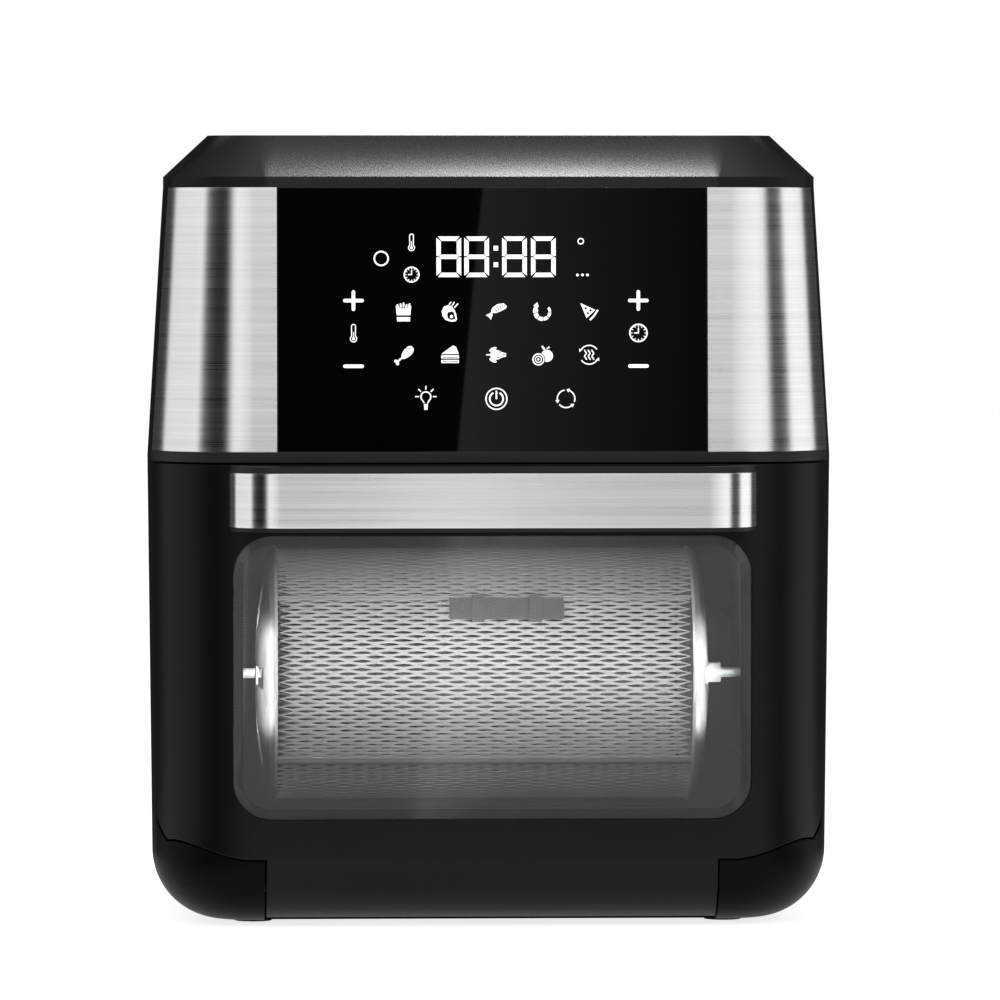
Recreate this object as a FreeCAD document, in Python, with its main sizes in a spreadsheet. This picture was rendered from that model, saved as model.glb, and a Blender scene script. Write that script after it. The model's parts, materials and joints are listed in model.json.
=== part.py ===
import FreeCAD, Part
import math
import os
import re

import Sketcher
from FreeCAD import Placement, Rotation, Vector

# A countertop air fryer oven, in millimetres: +Z up, front towards -Y, origin under the middle.
doc = FreeCAD.newDocument("AirFryerOven")
sheet = doc.addObject("Spreadsheet::Sheet", "Sizes")

# Driving dimensions. Heights are taken from the table, depths from the front of the body.
SIZES = {
    # outer body
    "body_width": 330,
    "body_depth": 320,
    "foot_height": 2,
    "belt_height": 226.2,
    "shoulder_height": 355,
    "corner_radius": 50,
    "base_inset": 2.5,
    "top_inset": 7.75,
    "bottom_radius": 34,
    "shell_wall": 3,
    "front_depth": 36,
    "seam_gap": 1,
    "band_height": 5,
    "base_height": 28,
    "ear_height": 34,
    "lip_height": 5,
    "slope_height": 20,
    "slope_run": 21.5,
    "foot_radius": 9,
    "foot_inset": 51,
    "foot_setback": 58,
    "post_radius": 6,
    "slot_width": 70,
    "slot_height": 4,
    "slot_pitch": 9,
    "slot_drop": 93,
    "gland_inset": 70,
    "gland_height": 70,
    "gland_radius": 7,
    "gland_flange": 10,
    "gland_bore": 3.6,
    # control panel
    "trim_width": 62.3,
    "touch_thickness": 3,
    "steel_sheet": 1,
    "carrier_depth": 5,
    "board_sheet": 1.6,
    "trim_gap": 0.3,
    "key_size": 7,
    "key_pitch": 22.2,
    "key_row_pitch": 20.6,
    "key_drop": 59.6,
    "side_key": 68,
    "display_width": 62,
    "display_height": 25,
    "display_drop": 33.4,
    # door, hinge and handle
    "hinge_setback": 20,
    "hinge_height": 20,
    "roller_radius": 21.4,
    "block_width": 57,
    "tongue_reach": 24,
    "recess_depth": 38.5,
    "knuckle_radius": 11,
    "knuckle_length": 14,
    "hinge_pin_radius": 3,
    "hinge_pin_grip": 22,
    "running_fit": 0.06,
    "door_wall": 3,
    "door_lower_radius": 28,
    "door_upper_radius": 4,
    "window_margin": 40.75,
    "window_sill": 52.6,
    "window_drop": 37.5,
    "window_radius": 18.5,
    "glass_recess": 1,
    "glass_thickness": 4,
    "glass_fit": 0.3,
    "seal_depth": 3,
    "seal_land": 5,
    "seal_flange": 7,
    "pane_border": 4.75,
    "pane_rise": 2.5,
    "pane_radius": 12,
    "pane_thickness": 3,
    "handle_reach": 28,
    "handle_margin": 38.65,
    "handle_drop": 32.8,
    "handle_height": 25.9,
    "handle_round": 24,
    "grip_wall": 7,
    "grip_lip": 2,
    "grip_crown": 3.2,
    "catch_side": 70,
    "catch_drop": 13.4,
    "catch_width": 18,
    "catch_rise": 8,
    "magnet_depth": 6,
    "strike_sheet": 0.6,
    # oven cavity
    "frame_depth": 10,
    "side_room": 34,
    "rear_room": 69,
    "cavity_floor": 34,
    "ceiling_drop": 14.2,
    "sheet": 1,
    "mouth_sill": 47,
    "lintel_drop": 26.2,
    "mouth_radius": 10,
    "gasket_offset": 1.3,
    "gasket_width": 3.5,
    "gasket_groove": 1.5,
    "soft_gap": 0.3,
    "runner_reach": 6,
    "runner_lip": 4,
    "runner_low": 68,
    "runner_high": 140,
    "tray_height": 8,
    "tray_margin": 5,
    "tray_radius": 12,
    "lamp_half": 13,
    "lamp_border": 3,
    "lamp_depth": 18,
    "lamp_drop": 53,
    "lamp_inset": 41,
    "probe_radius": 2,
    "probe_reach": 25,
    "probe_inset": 39,
    "probe_drop": 20,
    # heater and fans
    "heater_drop": 21,
    "heater_tube": 3.2,
    "heater_sleeve": 4.2,
    "heater_inset": 25,
    "heater_corner": 30,
    "heater_ends": 14,
    "heater_tail": 10,
    "clip_width": 5,
    "guard_drop": 28,
    "guard_sheet": 1.2,
    "guard_margin": 7.5,
    "guard_post": 3,
    "hot_fan_height": 11,
    "cool_fan_height": 12,
    "fan_gap": 3,
    "blade_sheet": 1.2,
    "hub_radius": 9,
    "shaft_radius": 4,
    "shaft_hole": 8,
    "shield_lift": 6,
    "shield_inset": 21,
    "motor_radius": 32,
    "motor_height": 40,
    "bracket_sheet": 2,
    "leg_width": 8,
    # drum and its drive
    "drum_margin": 19,
    "drum_sheet": 0.8,
    "rim_sheet": 1,
    "rim_width": 10.5,
    "end_dome": 9,
    "drum_door_angle": 80,
    "drum_door_gap": 0.5,
    "mesh_slot_length": 32,
    "mesh_slot_height": 3.6,
    "drum_pin_radius": 2.5,
    "drum_hub_radius": 5,
    "drum_hub_length": 7,
    "drum_collar_radius": 4.5,
    "drum_collar": 1.5,
    "drum_hinge_radius": 1.4,
    "latch_length": 56,
    "latch_width": 11,
    "latch_sheet": 1.5,
    "latch_angle": 33,
    "latch_offset": 10.6,
    "latch_clearance": 0.4,
    "guide_width": 6,
    "guide_sheet": 0.8,
    "bracket_gap": 6,
    "idle_sheet": 2,
    "idle_width": 24,
    "idle_rise": 12,
    "socket_radius": 7,
    "socket_length": 9,
    "socket_reach": 1.5,
    "drive_depth": 7,
    "gear_motor_radius": 23,
    "gear_motor_length": 16,
    "standoff_radius": 3,
    "standoff_spread": 17,
    # door switch
    "switch_offset": 12,
    "switch_drop": 21.2,
    "switch_width": 16,
    "switch_rise": 13,
    "switch_depth": 16,
    "plunger_radius": 2.4,
    "striker_radius": 3,
    "striker_reach": 1,
    "striker_hole": 5,
}
for row, (alias, number) in enumerate(SIZES.items(), 1):
    sheet.set(f"A{row}", alias)
    sheet.set(f"B{row}", str(number))
    sheet.setAlias(f"B{row}", alias)
doc.recompute()

# Places worked out from the driving dimensions.
PLACES = {
    "body_half": "body_width/2",
    "front_y": "(handle_reach - body_depth)/2",
    "back_y": "(handle_reach + body_depth)/2",
    "split_y": "front_y + front_depth",
    "seam_top": "body_half - corner_radius + sqrt(corner_radius^2 - (corner_radius - front_depth)^2)",
    "foot_round": "corner_radius - base_inset",
    "seam_foot": "body_half - corner_radius + sqrt(foot_round^2 - (corner_radius - front_depth)^2)",
    "seam_lean": "(seam_top - seam_foot)/(belt_height - foot_height)",
    "base_top": "foot_height + base_height",
    "band_low": "belt_height - band_height/2",
    "band_high": "belt_height + band_height/2",
    "foot_side": "body_half - foot_inset",
    "gland_side": "body_half - gland_inset",
    "slot_floor": "shoulder_height - slot_drop",
    "touch_half": "body_half - trim_width",
    "key_top_row": "shoulder_height - key_drop",
    "display_centre": "shoulder_height - display_drop",
    "door_low": "base_top + seam_gap",
    "door_top": "band_low - seam_gap",
    "door_back": "split_y - seam_gap",
    "hinge_y": "front_y + hinge_setback",
    "tongue_half": "body_half - block_width",
    "window_half": "body_half - window_margin",
    "window_head": "belt_height - window_drop",
    "pane_half": "window_half + pane_border",
    "pane_sill": "window_sill - pane_rise",
    "pane_head": "window_head + pane_rise",
    "handle_half": "body_half - handle_margin",
    "handle_sill": "belt_height - handle_drop",
    "catch_height": "belt_height - catch_drop",
    "handle_front": "front_y - handle_reach",
    "cavity_half": "body_half - side_room",
    "cavity_front": "split_y + frame_depth",
    "cavity_back": "back_y - rear_room",
    "cavity_depth": "cavity_back - cavity_front",
    "cavity_middle": "(cavity_front + cavity_back)/2",
    "cavity_ceiling": "belt_height - ceiling_drop",
    "cavity_rise": "cavity_ceiling - cavity_floor",
    "mouth_lintel": "belt_height - lintel_drop",
    "lamp_side": "cavity_half - lamp_inset",
    "lamp_height": "cavity_ceiling - lamp_drop",
    "probe_side": "cavity_half - probe_inset",
    "probe_height": "cavity_ceiling - probe_drop",
    "guard_height": "cavity_ceiling - guard_drop",
    "guard_radius": "cavity_depth/2 - guard_margin",
    "heater_height": "cavity_ceiling - heater_drop",
    "heater_side": "guard_radius - heater_inset",
    "hot_fan_radius": "0.61*guard_radius",
    "cool_fan_radius": "0.46*guard_radius",
    "bracket_side": "0.55*guard_radius",
    "shield_side": "cavity_half - shield_inset",
    "ceiling_top": "cavity_ceiling + sheet",
    "heater_rear": "cavity_middle + heater_side",
    "shield_low": "ceiling_top + shield_lift",
    "shield_top": "shield_low + sheet",
    "bracket_low": "shield_top + cool_fan_height + 2*fan_gap",
    "bracket_top": "bracket_low + bracket_sheet",
    "drum_half": "cavity_half - drum_margin",
    "drum_height": "cavity_floor + 0.45*cavity_rise + 0.5",
    "drum_radius": "0.35*cavity_rise - 0.3",
    "mesh_slot_pitch": "0.348*drum_half",
    "switch_side": "cavity_half + switch_offset",
    "switch_height": "belt_height - switch_drop",
    "rim_radius": "drum_radius + rim_sheet",
    "latch_seat": "drum_radius + latch_clearance",
    "latch_top": "latch_seat + latch_sheet",
    "idle_face": "cavity_half - bracket_gap",
    "socket_inner": "cavity_half - socket_reach",
    "socket_outer": "socket_inner + socket_length",
    "plunger_tip": "split_y + striker_reach + soft_gap",
}


def formula(text):
    """Spell a size or place name out as an expression on the sheet."""
    def expand(match):
        word = match.group()
        if word in SIZES:
            return f"Sizes.{word}"
        if word in PLACES:
            return f"({formula(PLACES[word])})"
        return word
    return re.sub(r"[a-z_]+", expand, text)


def value(text):
    """The number that a formula comes to."""
    return float(sheet.evalExpression(formula(text)))


def solid(item):
    """The document object behind a piece."""
    return item.body if isinstance(item, Piece) else item


def tie(sketch, constraint, text):
    """Add a dimension to a sketch and bind it to a formula."""
    index = sketch.addConstraint(constraint)
    sketch.setExpression(f"Constraints[{index}]", formula(text))


def polygon(*corners, closed=True):
    """An outline, or an open run of lines, whose corners are pairs of formulas."""
    def draw(sketch):
        points = [Vector(value(u), value(v), 0) for u, v in corners]
        stops = points[1:] + points[:1]*closed
        lines = [sketch.addGeometry(Part.LineSegment(a, b), False) for a, b in zip(points, stops)]
        for line, following in zip(lines, lines[1:] + lines[:1]*closed):
            sketch.addConstraint(Sketcher.Constraint("Coincident", line, 2, following, 1))
        for line, point, (u, v) in zip(lines, points, corners):
            place_point(sketch, line, 1, point, u, v)
        if not closed:
            place_point(sketch, lines[-1], 2, points[-1], *corners[-1])
    return draw


def place_point(sketch, geometry, position, point, u, v):
    """Hold one point of a sketch at two formulas, or on an axis where a formula is zero."""
    if u == "0":
        sketch.addConstraint(Sketcher.Constraint("PointOnObject", geometry, position, -2))
    else:
        tie(sketch, Sketcher.Constraint("DistanceX", -1, 1, geometry, position, point.x), u)
    if v == "0":
        sketch.addConstraint(Sketcher.Constraint("PointOnObject", geometry, position, -1))
    else:
        tie(sketch, Sketcher.Constraint("DistanceY", -1, 1, geometry, position, point.y), v)


def rectangle(left, right, low, high):
    """A plain rectangle between four formulas."""
    return polygon((left, low), (right, low), (right, high), (left, high))


def circle(u, v, radius):
    """A circle about a point."""
    def draw(sketch):
        centre = Vector(value(u), value(v), 0)
        ring = sketch.addGeometry(Part.Circle(centre, Vector(0, 0, 1), value(radius)), False)
        place_point(sketch, ring, 3, centre, u, v)
        tie(sketch, Sketcher.Constraint("Radius", ring, value(radius)), radius)
    return draw


def rounded(left, right, low, high, radius):
    """A rectangle with four equal round corners, as lines and tangent arcs."""
    def draw(sketch):
        x0, x1, y0, y1, r = (value(text) for text in (left, right, low, high, radius))
        corners = [(x1 - r, y0 + r), (x1 - r, y1 - r), (x0 + r, y1 - r), (x0 + r, y0 + r)]
        sides = [((x0 + r, y0), (x1 - r, y0)), ((x1, y0 + r), (x1, y1 - r)),
                 ((x1 - r, y1), (x0 + r, y1)), ((x0, y1 - r), (x0, y0 + r))]
        chain = []
        for quarter, (side, corner) in enumerate(zip(sides, corners)):
            start, end = (Vector(*point, 0) for point in side)
            chain.append(sketch.addGeometry(Part.LineSegment(start, end), False))
            turn = (quarter - 1)*math.pi/2
            round_corner = Part.Circle(Vector(*corner, 0), Vector(0, 0, 1), r)
            arc = Part.ArcOfCircle(round_corner, turn, turn + math.pi/2)
            chain.append(sketch.addGeometry(arc, False))
        for item, following in zip(chain, chain[1:] + chain[:1]):
            sketch.addConstraint(Sketcher.Constraint("Tangent", item, 2, following, 1))
        for line, direction in zip(chain[::2], ("Horizontal", "Vertical")*2):
            sketch.addConstraint(Sketcher.Constraint(direction, line))
        for arc in chain[3::2]:
            sketch.addConstraint(Sketcher.Constraint("Equal", chain[1], arc))
        tie(sketch, Sketcher.Constraint("Radius", chain[1], r), radius)
        tie(sketch, Sketcher.Constraint("DistanceY", -1, 1, chain[0], 1, y0), low)
        tie(sketch, Sketcher.Constraint("DistanceX", -1, 1, chain[2], 1, x1), right)
        tie(sketch, Sketcher.Constraint("DistanceY", -1, 1, chain[4], 1, y1), high)
        tie(sketch, Sketcher.Constraint("DistanceX", -1, 1, chain[6], 1, x0), left)
    return draw


class Piece:
    """A PartDesign body whose features run along +X, +Y or +Z from a sketch plane."""

    def __init__(self, name):
        self.name = name
        self.steps = 0
        self.body = doc.addObject("PartDesign::Body", name)
        self.body.Label = name

    def sketch(self, plane, place, *outlines):
        self.steps += 1
        drawing = self.body.newObject("Sketcher::SketchObject", f"{self.name}_sketch_{self.steps}")
        origin = [item for item in self.body.Origin.OriginFeatures if item.Role == f"{plane}_Plane"]
        drawing.AttachmentSupport = [(origin[0], "")]
        drawing.MapMode = "FlatFace"
        sign = "-1" if plane == "XZ" else "1"
        drawing.setExpression("AttachmentOffset.Base.z", f"{sign} * ({formula(place)})")
        for outline in outlines:
            outline(drawing)
        doc.recompute()
        return drawing

    def feature(self, kind):
        self.steps += 1
        return self.body.newObject(f"PartDesign::{kind}", f"{self.name}_{kind}_{self.steps}")

    def pad(self, plane, place, length, *outlines):
        drawing = self.sketch(plane, place, *outlines)
        step = self.feature("Pad")
        step.Profile = drawing
        step.Reversed = plane == "XZ"
        step.setExpression("Length", formula(length))
        doc.recompute()
        return step

    def pocket(self, plane, place, length, *outlines):
        before = self.body.Shape.Volume
        drawing = self.sketch(plane, place, *outlines)
        step = self.feature("Pocket")
        step.Profile = drawing
        step.Reversed = plane != "XZ"
        step.setExpression("Length", formula(length))
        doc.recompute()
        if not self.body.Shape.Volume < before - 1e-6:
            raise RuntimeError(f"a pocket in {self.name} removes nothing")
        return step

    def revolve(self, plane, outline, axis, angle="360"):
        drawing = self.sketch(plane, "0", outline)
        step = self.feature("Revolution")
        step.Profile = drawing
        step.ReferenceAxis = (drawing, [axis])
        step.Midplane = True
        step.setExpression("Angle", formula(angle))
        doc.recompute()
        return step

    def loft(self, first, second):
        step = self.feature("AdditiveLoft")
        step.Profile = first
        step.Sections = [second]
        step.Ruled = True
        doc.recompute()
        return step

    def pipe(self, profile, path):
        step = self.feature("AdditivePipe")
        step.Profile = profile
        step.Spine = (path, [f"Edge{i}" for i in range(1, len(path.Shape.Edges) + 1)])
        step.Transition = "Right corner"
        doc.recompute()
        return step

    def around(self, axis, original, count):
        line = [item for item in self.body.Origin.OriginFeatures if item.Role == f"{axis}_Axis"]
        step = self.feature("PolarPattern")
        step.Originals = [original]
        step.Axis = (line[0], [""])
        step.Angle = 360
        step.Occurrences = count
        self.body.Tip = step
        doc.recompute()
        return step

    def fillet(self, radius, chosen):
        base = self.body.Tip
        edges = [f"Edge{i}" for i, edge in enumerate(base.Shape.Edges, 1) if chosen(edge)]
        step = self.feature("Fillet")
        step.Base = (base, edges)
        step.setExpression("Radius", formula(radius))
        doc.recompute()
        return step

    def move(self, x="0", y="0", z="0", turn="0"):
        self.body.Placement = Placement(Vector(), Rotation(Vector(1, 0, 0), value(turn)))
        for axis, text in zip("xyz", (x, y, z)):
            if text != "0":
                self.body.setExpression(f"Placement.Base.{axis}", formula(text))
        doc.recompute()
        return self


def box(name, x, y, z):
    """A block between two formulas on each axis."""
    block = doc.addObject("Part::Box", name)
    for axis, side, (low, high) in zip("xyz", ("Length", "Width", "Height"), (x, y, z)):
        block.setExpression(f"Placement.Base.{axis}", formula(low))
        block.setExpression(side, formula(f"({high}) - ({low})"))
    return block


TURNS = {"x": Rotation(Vector(0, 1, 0), 90), "y": Rotation(Vector(1, 0, 0), -90), "z": Rotation()}


def rod(name, axis, centre, radius, low, high):
    """A cylinder along one axis, centred on two formulas in the other two."""
    cylinder = doc.addObject("Part::Cylinder", name)
    cylinder.setExpression("Radius", formula(radius))
    cylinder.setExpression("Height", formula(f"({high}) - ({low})"))
    cylinder.Placement = Placement(Vector(), TURNS[axis])
    places = iter(centre)
    for letter in "xyz":
        text = low if letter == axis else next(places)
        cylinder.setExpression(f"Placement.Base.{letter}", formula(text))
    return cylinder


def refined(result):
    if hasattr(result, "Refine"):
        result.Refine = True
    doc.recompute()
    return result


def join(name, *pieces):
    result = doc.addObject("Part::MultiFuse", name)
    result.Shapes = [solid(piece) for piece in pieces]
    return refined(result)


def shared(name, *pieces):
    result = doc.addObject("Part::MultiCommon", name)
    result.Shapes = [solid(piece) for piece in pieces]
    return refined(result)


def cut(name, base, *tools):
    result = doc.addObject("Part::Cut", name)
    result.Base = solid(base)
    result.Tool = solid(tools[0]) if len(tools) == 1 else join(f"{name}_tools", *tools)
    return refined(result)


def group(name, *pieces):
    result = doc.addObject("Part::Compound", name)
    result.Links = [solid(piece) for piece in pieces]
    doc.recompute()
    return result


def mirrored(name, item):
    """The same piece on the other side of the middle."""
    result = doc.addObject("Part::Mirroring", name)
    result.Source = solid(item)
    result.Normal = Vector(1, 0, 0)
    doc.recompute()
    return result


NODES = []


def keep(item):
    """Mark a finished sub-part for export under its own name."""
    NODES.append(solid(item))
    return item


# Outer body: one tapered form at several insets, from which the moulded shells are taken.
WIDE = ("-body_width", "body_width")
DEEP = ("-body_depth", "body_depth")


def section(piece, height, inset, taper):
    half = f"body_half - ({taper}) - ({inset})"
    front = f"front_y + ({taper}) + ({inset})"
    back = f"back_y - ({taper}) - ({inset})"
    radius = f"corner_radius - ({taper}) - ({inset})"
    return piece.sketch("XY", height, rounded(f"-({half})", half, front, back, radius))


def body_form(name, inset="0"):
    """The whole housing, base to shoulder, moved in by an inset."""
    piece = Piece(name)
    lean = f"base_inset*(belt_height - foot_height - {inset})/(belt_height - foot_height)"
    floor = section(piece, f"foot_height + {inset}", inset, lean)
    belt = section(piece, "belt_height", inset, "0")
    shoulder = section(piece, "shoulder_height", inset, "top_inset")
    piece.loft(floor, belt)
    lowest = value(f"foot_height + {inset}") + 0.01
    piece.fillet(f"bottom_radius - ({inset})", lambda edge: edge.BoundBox.ZMax < lowest)
    piece.loft(belt, shoulder)
    return piece


def lower_form(name, inset):
    """The lower half alone, for the layers of the door's window."""
    piece = Piece(name)
    floor = section(piece, "foot_height", inset, "base_inset")
    piece.loft(floor, section(piece, "belt_height", inset, "0"))
    return piece


def upper_form(name, inset):
    """The upper half alone, for the layers of the control panel."""
    piece = Piece(name)
    belt = section(piece, "belt_height", inset, "0")
    piece.loft(belt, section(piece, "shoulder_height", inset, "top_inset"))
    return piece


outer = body_form("outer_form")
inner = body_form("inner_form", "shell_wall")
shell = cut("housing_shell", outer, inner)


def door_outline(name, grow, depth):
    """The door's front outline, which follows the side seams, carried back through the front zone."""
    piece = Piece(name)
    low, top = f"door_low - ({grow})", f"door_top + ({grow})"
    low_half, top_half = (f"seam_foot + seam_lean*({height} - foot_height) + ({grow})" for height in (low, top))
    piece.pad("XZ", "front_y - 5", f"({depth}) - front_y + 5", polygon(
        (f"-({low_half})", low), (low_half, low), (top_half, top), (f"-({top_half})", top)))
    middle = value("belt_height/2")

    def along_y(edge):
        return edge.BoundBox.YLength > 1 and edge.BoundBox.XLength < 0.01 and edge.BoundBox.ZLength < 0.01

    piece.fillet(f"door_lower_radius + ({grow})",
                 lambda edge: along_y(edge) and edge.BoundBox.ZMax < middle)
    piece.fillet(f"door_upper_radius + ({grow})",
                 lambda edge: along_y(edge) and edge.BoundBox.ZMin > middle)
    return piece


door_opening = door_outline("door_opening", "seam_gap", "split_y + 1")


def housing_panels():
    """Left, right and rear walls of the housing."""
    side_zone = box("side_zone", ("-body_width", "0"), ("split_y", "back_y - corner_radius"),
                    ("base_top", "shoulder_height"))
    left = keep(shared("left_panel", shell, side_zone))
    keep(mirrored("right_panel", left))
    rear_zone = box("rear_zone", WIDE, ("back_y - corner_radius", "back_y + 1"),
                    ("base_top", "shoulder_height"))
    slots = Piece("rear_slots")
    slots.pad("XZ", "back_y - corner_radius", "corner_radius + 1",
              *[rectangle(*ends(side, "0.1*slot_width", "1.1*slot_width"), f"slot_floor + {row}*slot_pitch",
                          f"slot_floor + {row}*slot_pitch + slot_height")
                for side in (-1, 1) for row in range(6)])
    inlet = rod("cord_inlet", "y", ("-gland_side", "gland_height"), "gland_radius",
                "back_y - corner_radius", "back_y + 1")
    keep(cut("rear_panel", shared("rear_wall", shell, rear_zone), slots, inlet))


def base():
    """Bottom tub, with a rounded hinge block at each front corner and a recess between them."""
    slab = box("base_slab", WIDE, ("split_y", "back_y + 1"), ("0", "base_top"))
    low_front = box("base_low_front", WIDE, ("front_y - 1", "split_y"), ("0", "hinge_height"))
    front_zone = box("base_front_zone", WIDE, ("front_y - 1", "split_y"), ("0", "base_top + ear_height"))
    roller = rod("base_roller", "x", ("hinge_y", "hinge_height"), "roller_radius", *WIDE)
    roller_front = shared("base_roller_front", roller, front_zone)
    blocks = shared("base_blocks", outer, join("base_zone", slab, low_front, roller_front))
    ear_zone = box("base_ear_zone", WIDE, ("front_y - 1", "split_y"), ("hinge_height", "base_top + ear_height"))
    ears = cut("base_ears", shared("base_ear_shell", shell, ear_zone), door_opening)
    hollow = Piece("base_hollow")
    floor = section(hollow, "foot_height + shell_wall", "0.8*bottom_radius", "0")
    bend = section(hollow, "foot_height + 0.6*bottom_radius", "3*shell_wall", "0")
    hollow.loft(floor, bend)
    hollow.loft(bend, section(hollow, "base_top + 1", "3*shell_wall", "0"))
    void_zone = box("base_void_zone", WIDE, ("front_y + recess_depth + shell_wall", "back_y"),
                    ("0", "base_top + 1"))
    void = shared("base_void", hollow, void_zone)
    recess = box("base_recess", ("-tongue_half - seam_gap", "tongue_half + seam_gap"),
                 ("front_y - 1", "front_y + recess_depth"), ("0", "base_top + ear_height"))
    posts = [rod(f"base_post_{side}_{end}", "z", (f"{side}*cavity_half*0.7", end), "post_radius",
                 "foot_height + 1", "cavity_floor - sheet")
             for side in (-1, 1) for end in ("cavity_front + 30", "cavity_back - 30")]
    bores = [rod(f"base_bore_{side}", "x", ("hinge_y", "hinge_height"), "hinge_pin_radius",
                 *sorted((f"{side}*tongue_half", f"{side}*(tongue_half + hinge_pin_grip)"), key=value))
             for side in (-1, 1)]
    tub = cut("base_tub", join("base_outer", blocks, ears), void, recess)
    keep(cut("base", join("base_with_posts", tub, *posts), *bores))
    feet = [rod(f"foot_{side}_{end}", "z", (f"{side}*foot_side", place), "foot_radius", "0", "foot_height")
            for side in (-1, 1)
            for end, place in (("front", "front_y + foot_setback"), ("rear", "back_y - foot_setback"))]
    keep(group("feet", *feet))


def front_frame():
    """Frame round the oven's mouth, with the band that parts the door from the control panel."""
    shelf_zone = box("shelf_zone", WIDE, ("front_y - 1", "split_y"), ("band_low", "band_high"))
    shelf = shared("frame_shelf", outer, shelf_zone)
    plate_zone = box("plate_zone", WIDE, ("split_y", "cavity_front"), ("base_top", "band_high"))
    plate = shared("frame_plate", inner, plate_zone)
    mouth = Piece("frame_mouth")
    mouth.pad("XZ", "split_y - 1", "frame_depth + 2",
              rounded("-cavity_half", "cavity_half", "mouth_sill", "mouth_lintel", "mouth_radius"))
    hole = rod("striker_hole_cut", "y", ("switch_side", "switch_height"), "striker_hole",
               "split_y - 1", "cavity_front + 1")
    pockets = [box(f"magnet_pocket_{side}", *catch_span(side), ("split_y - 1", "split_y + magnet_depth"),
                   catch_rise()) for side in (-1, 1)]
    keep(cut("front_frame", join("frame_solid", shelf, plate), mouth, hole, *pockets))
    magnets = [box(f"magnet_{side}", *catch_span(side), ("split_y", "split_y + magnet_depth"), catch_rise())
               for side in (-1, 1)]
    keep(group("catch_magnets", *magnets))


def catch_span(side):
    return [(f"{side}*catch_side - catch_width/2", f"{side}*catch_side + catch_width/2")]


def catch_rise():
    return ("catch_height - catch_rise/2", "catch_height + catch_rise/2")


def lid():
    """Top cover: a straight lip and a sloped border round a flat top, hollow below."""
    shells = []
    for name, inset, lift in (("lid_outer", "0", "0"), ("lid_inner", "shell_wall", "shell_wall")):
        piece = Piece(name)
        low = section(piece, "shoulder_height", inset, "top_inset")
        brim = section(piece, "shoulder_height + lip_height", inset, "top_inset")
        top = section(piece, f"shoulder_height + lip_height + slope_height - {lift}", inset,
                      "top_inset + slope_run")
        piece.loft(low, brim)
        piece.loft(brim, top)
        shells.append(piece)
    keep(cut("lid", *shells))


# Control panel: layers behind the front of the upper body.
PANEL_HIGH = ("band_high", "shoulder_height")
PANEL_DEEP = ("front_y - 1", "split_y - trim_gap")


def control_panel():
    """Steel trims, touch glass, carrier, board, display and touch pads."""
    steel_back = upper_form("steel_back", "steel_sheet")
    touch_back = upper_form("touch_back", "touch_thickness")
    carrier_back = upper_form("carrier_back", "carrier_depth")
    board_back = upper_form("board_back", "carrier_depth + board_sheet")
    touch_zone = box("touch_zone", ("-touch_half", "touch_half"), PANEL_DEEP, PANEL_HIGH)
    glass = keep(shared("touch_glass", cut("touch_layer", outer, touch_back), touch_zone))
    trim_zone = box("trim_zone", ("-body_width", "-touch_half - trim_gap"), PANEL_DEEP, PANEL_HIGH)
    trim = keep(shared("steel_trim_left", cut("steel_layer", outer, steel_back), trim_zone))
    keep(mirrored("steel_trim_right", trim))
    panel_zone = box("panel_zone", WIDE, PANEL_DEEP, PANEL_HIGH)
    backing = shared("carrier_layer", cut("carrier_slab", steel_back, carrier_back), panel_zone)
    keys = ("-side_key - 2*key_size", "side_key + 2*key_size")
    key_rise = ("band_high + 2*key_size", "shoulder_height - key_size")
    opening = box("carrier_opening", keys, PANEL_DEEP, key_rise)
    keep(cut("panel_carrier", cut("carrier_seat", backing, glass), opening))
    board_zone = box("board_zone", ("-side_key - 3*key_size", "side_key + 3*key_size"), PANEL_DEEP,
                     ("band_high + key_size", "shoulder_height - key_size/2"))
    keep(shared("control_board", cut("board_layer", carrier_back, board_back), board_zone))
    front_layer = cut("key_layer", touch_back, carrier_back)
    display_zone = box("display_zone", ("-display_width/2", "display_width/2"), PANEL_DEEP,
                       ("display_centre - display_height/2", "display_centre + display_height/2"))
    keep(shared("display_module", front_layer, display_zone))
    keys = [(f"{column}*key_pitch", f"key_top_row - {row}*key_row_pitch")
            for column in range(-2, 3) for row in range(2)]
    keys += [(f"{column}*1.5*key_pitch", "key_top_row - 2*key_row_pitch") for column in (-1, 0, 1)]
    keys += [(f"{side}*side_key", f"key_top_row + key_size - {row}*1.5*key_row_pitch")
             for side in (-1, 1) for row in range(2)]
    pads = [box(f"touch_pad_{index}", (f"{across} - key_size/2", f"{across} + key_size/2"), PANEL_DEEP,
                (f"{height} - key_size/2", f"{height} + key_size/2"))
            for index, (across, height) in enumerate(keys)]
    keep(shared("touch_pads", front_layer, join("touch_pad_zone", *pads)))


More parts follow.
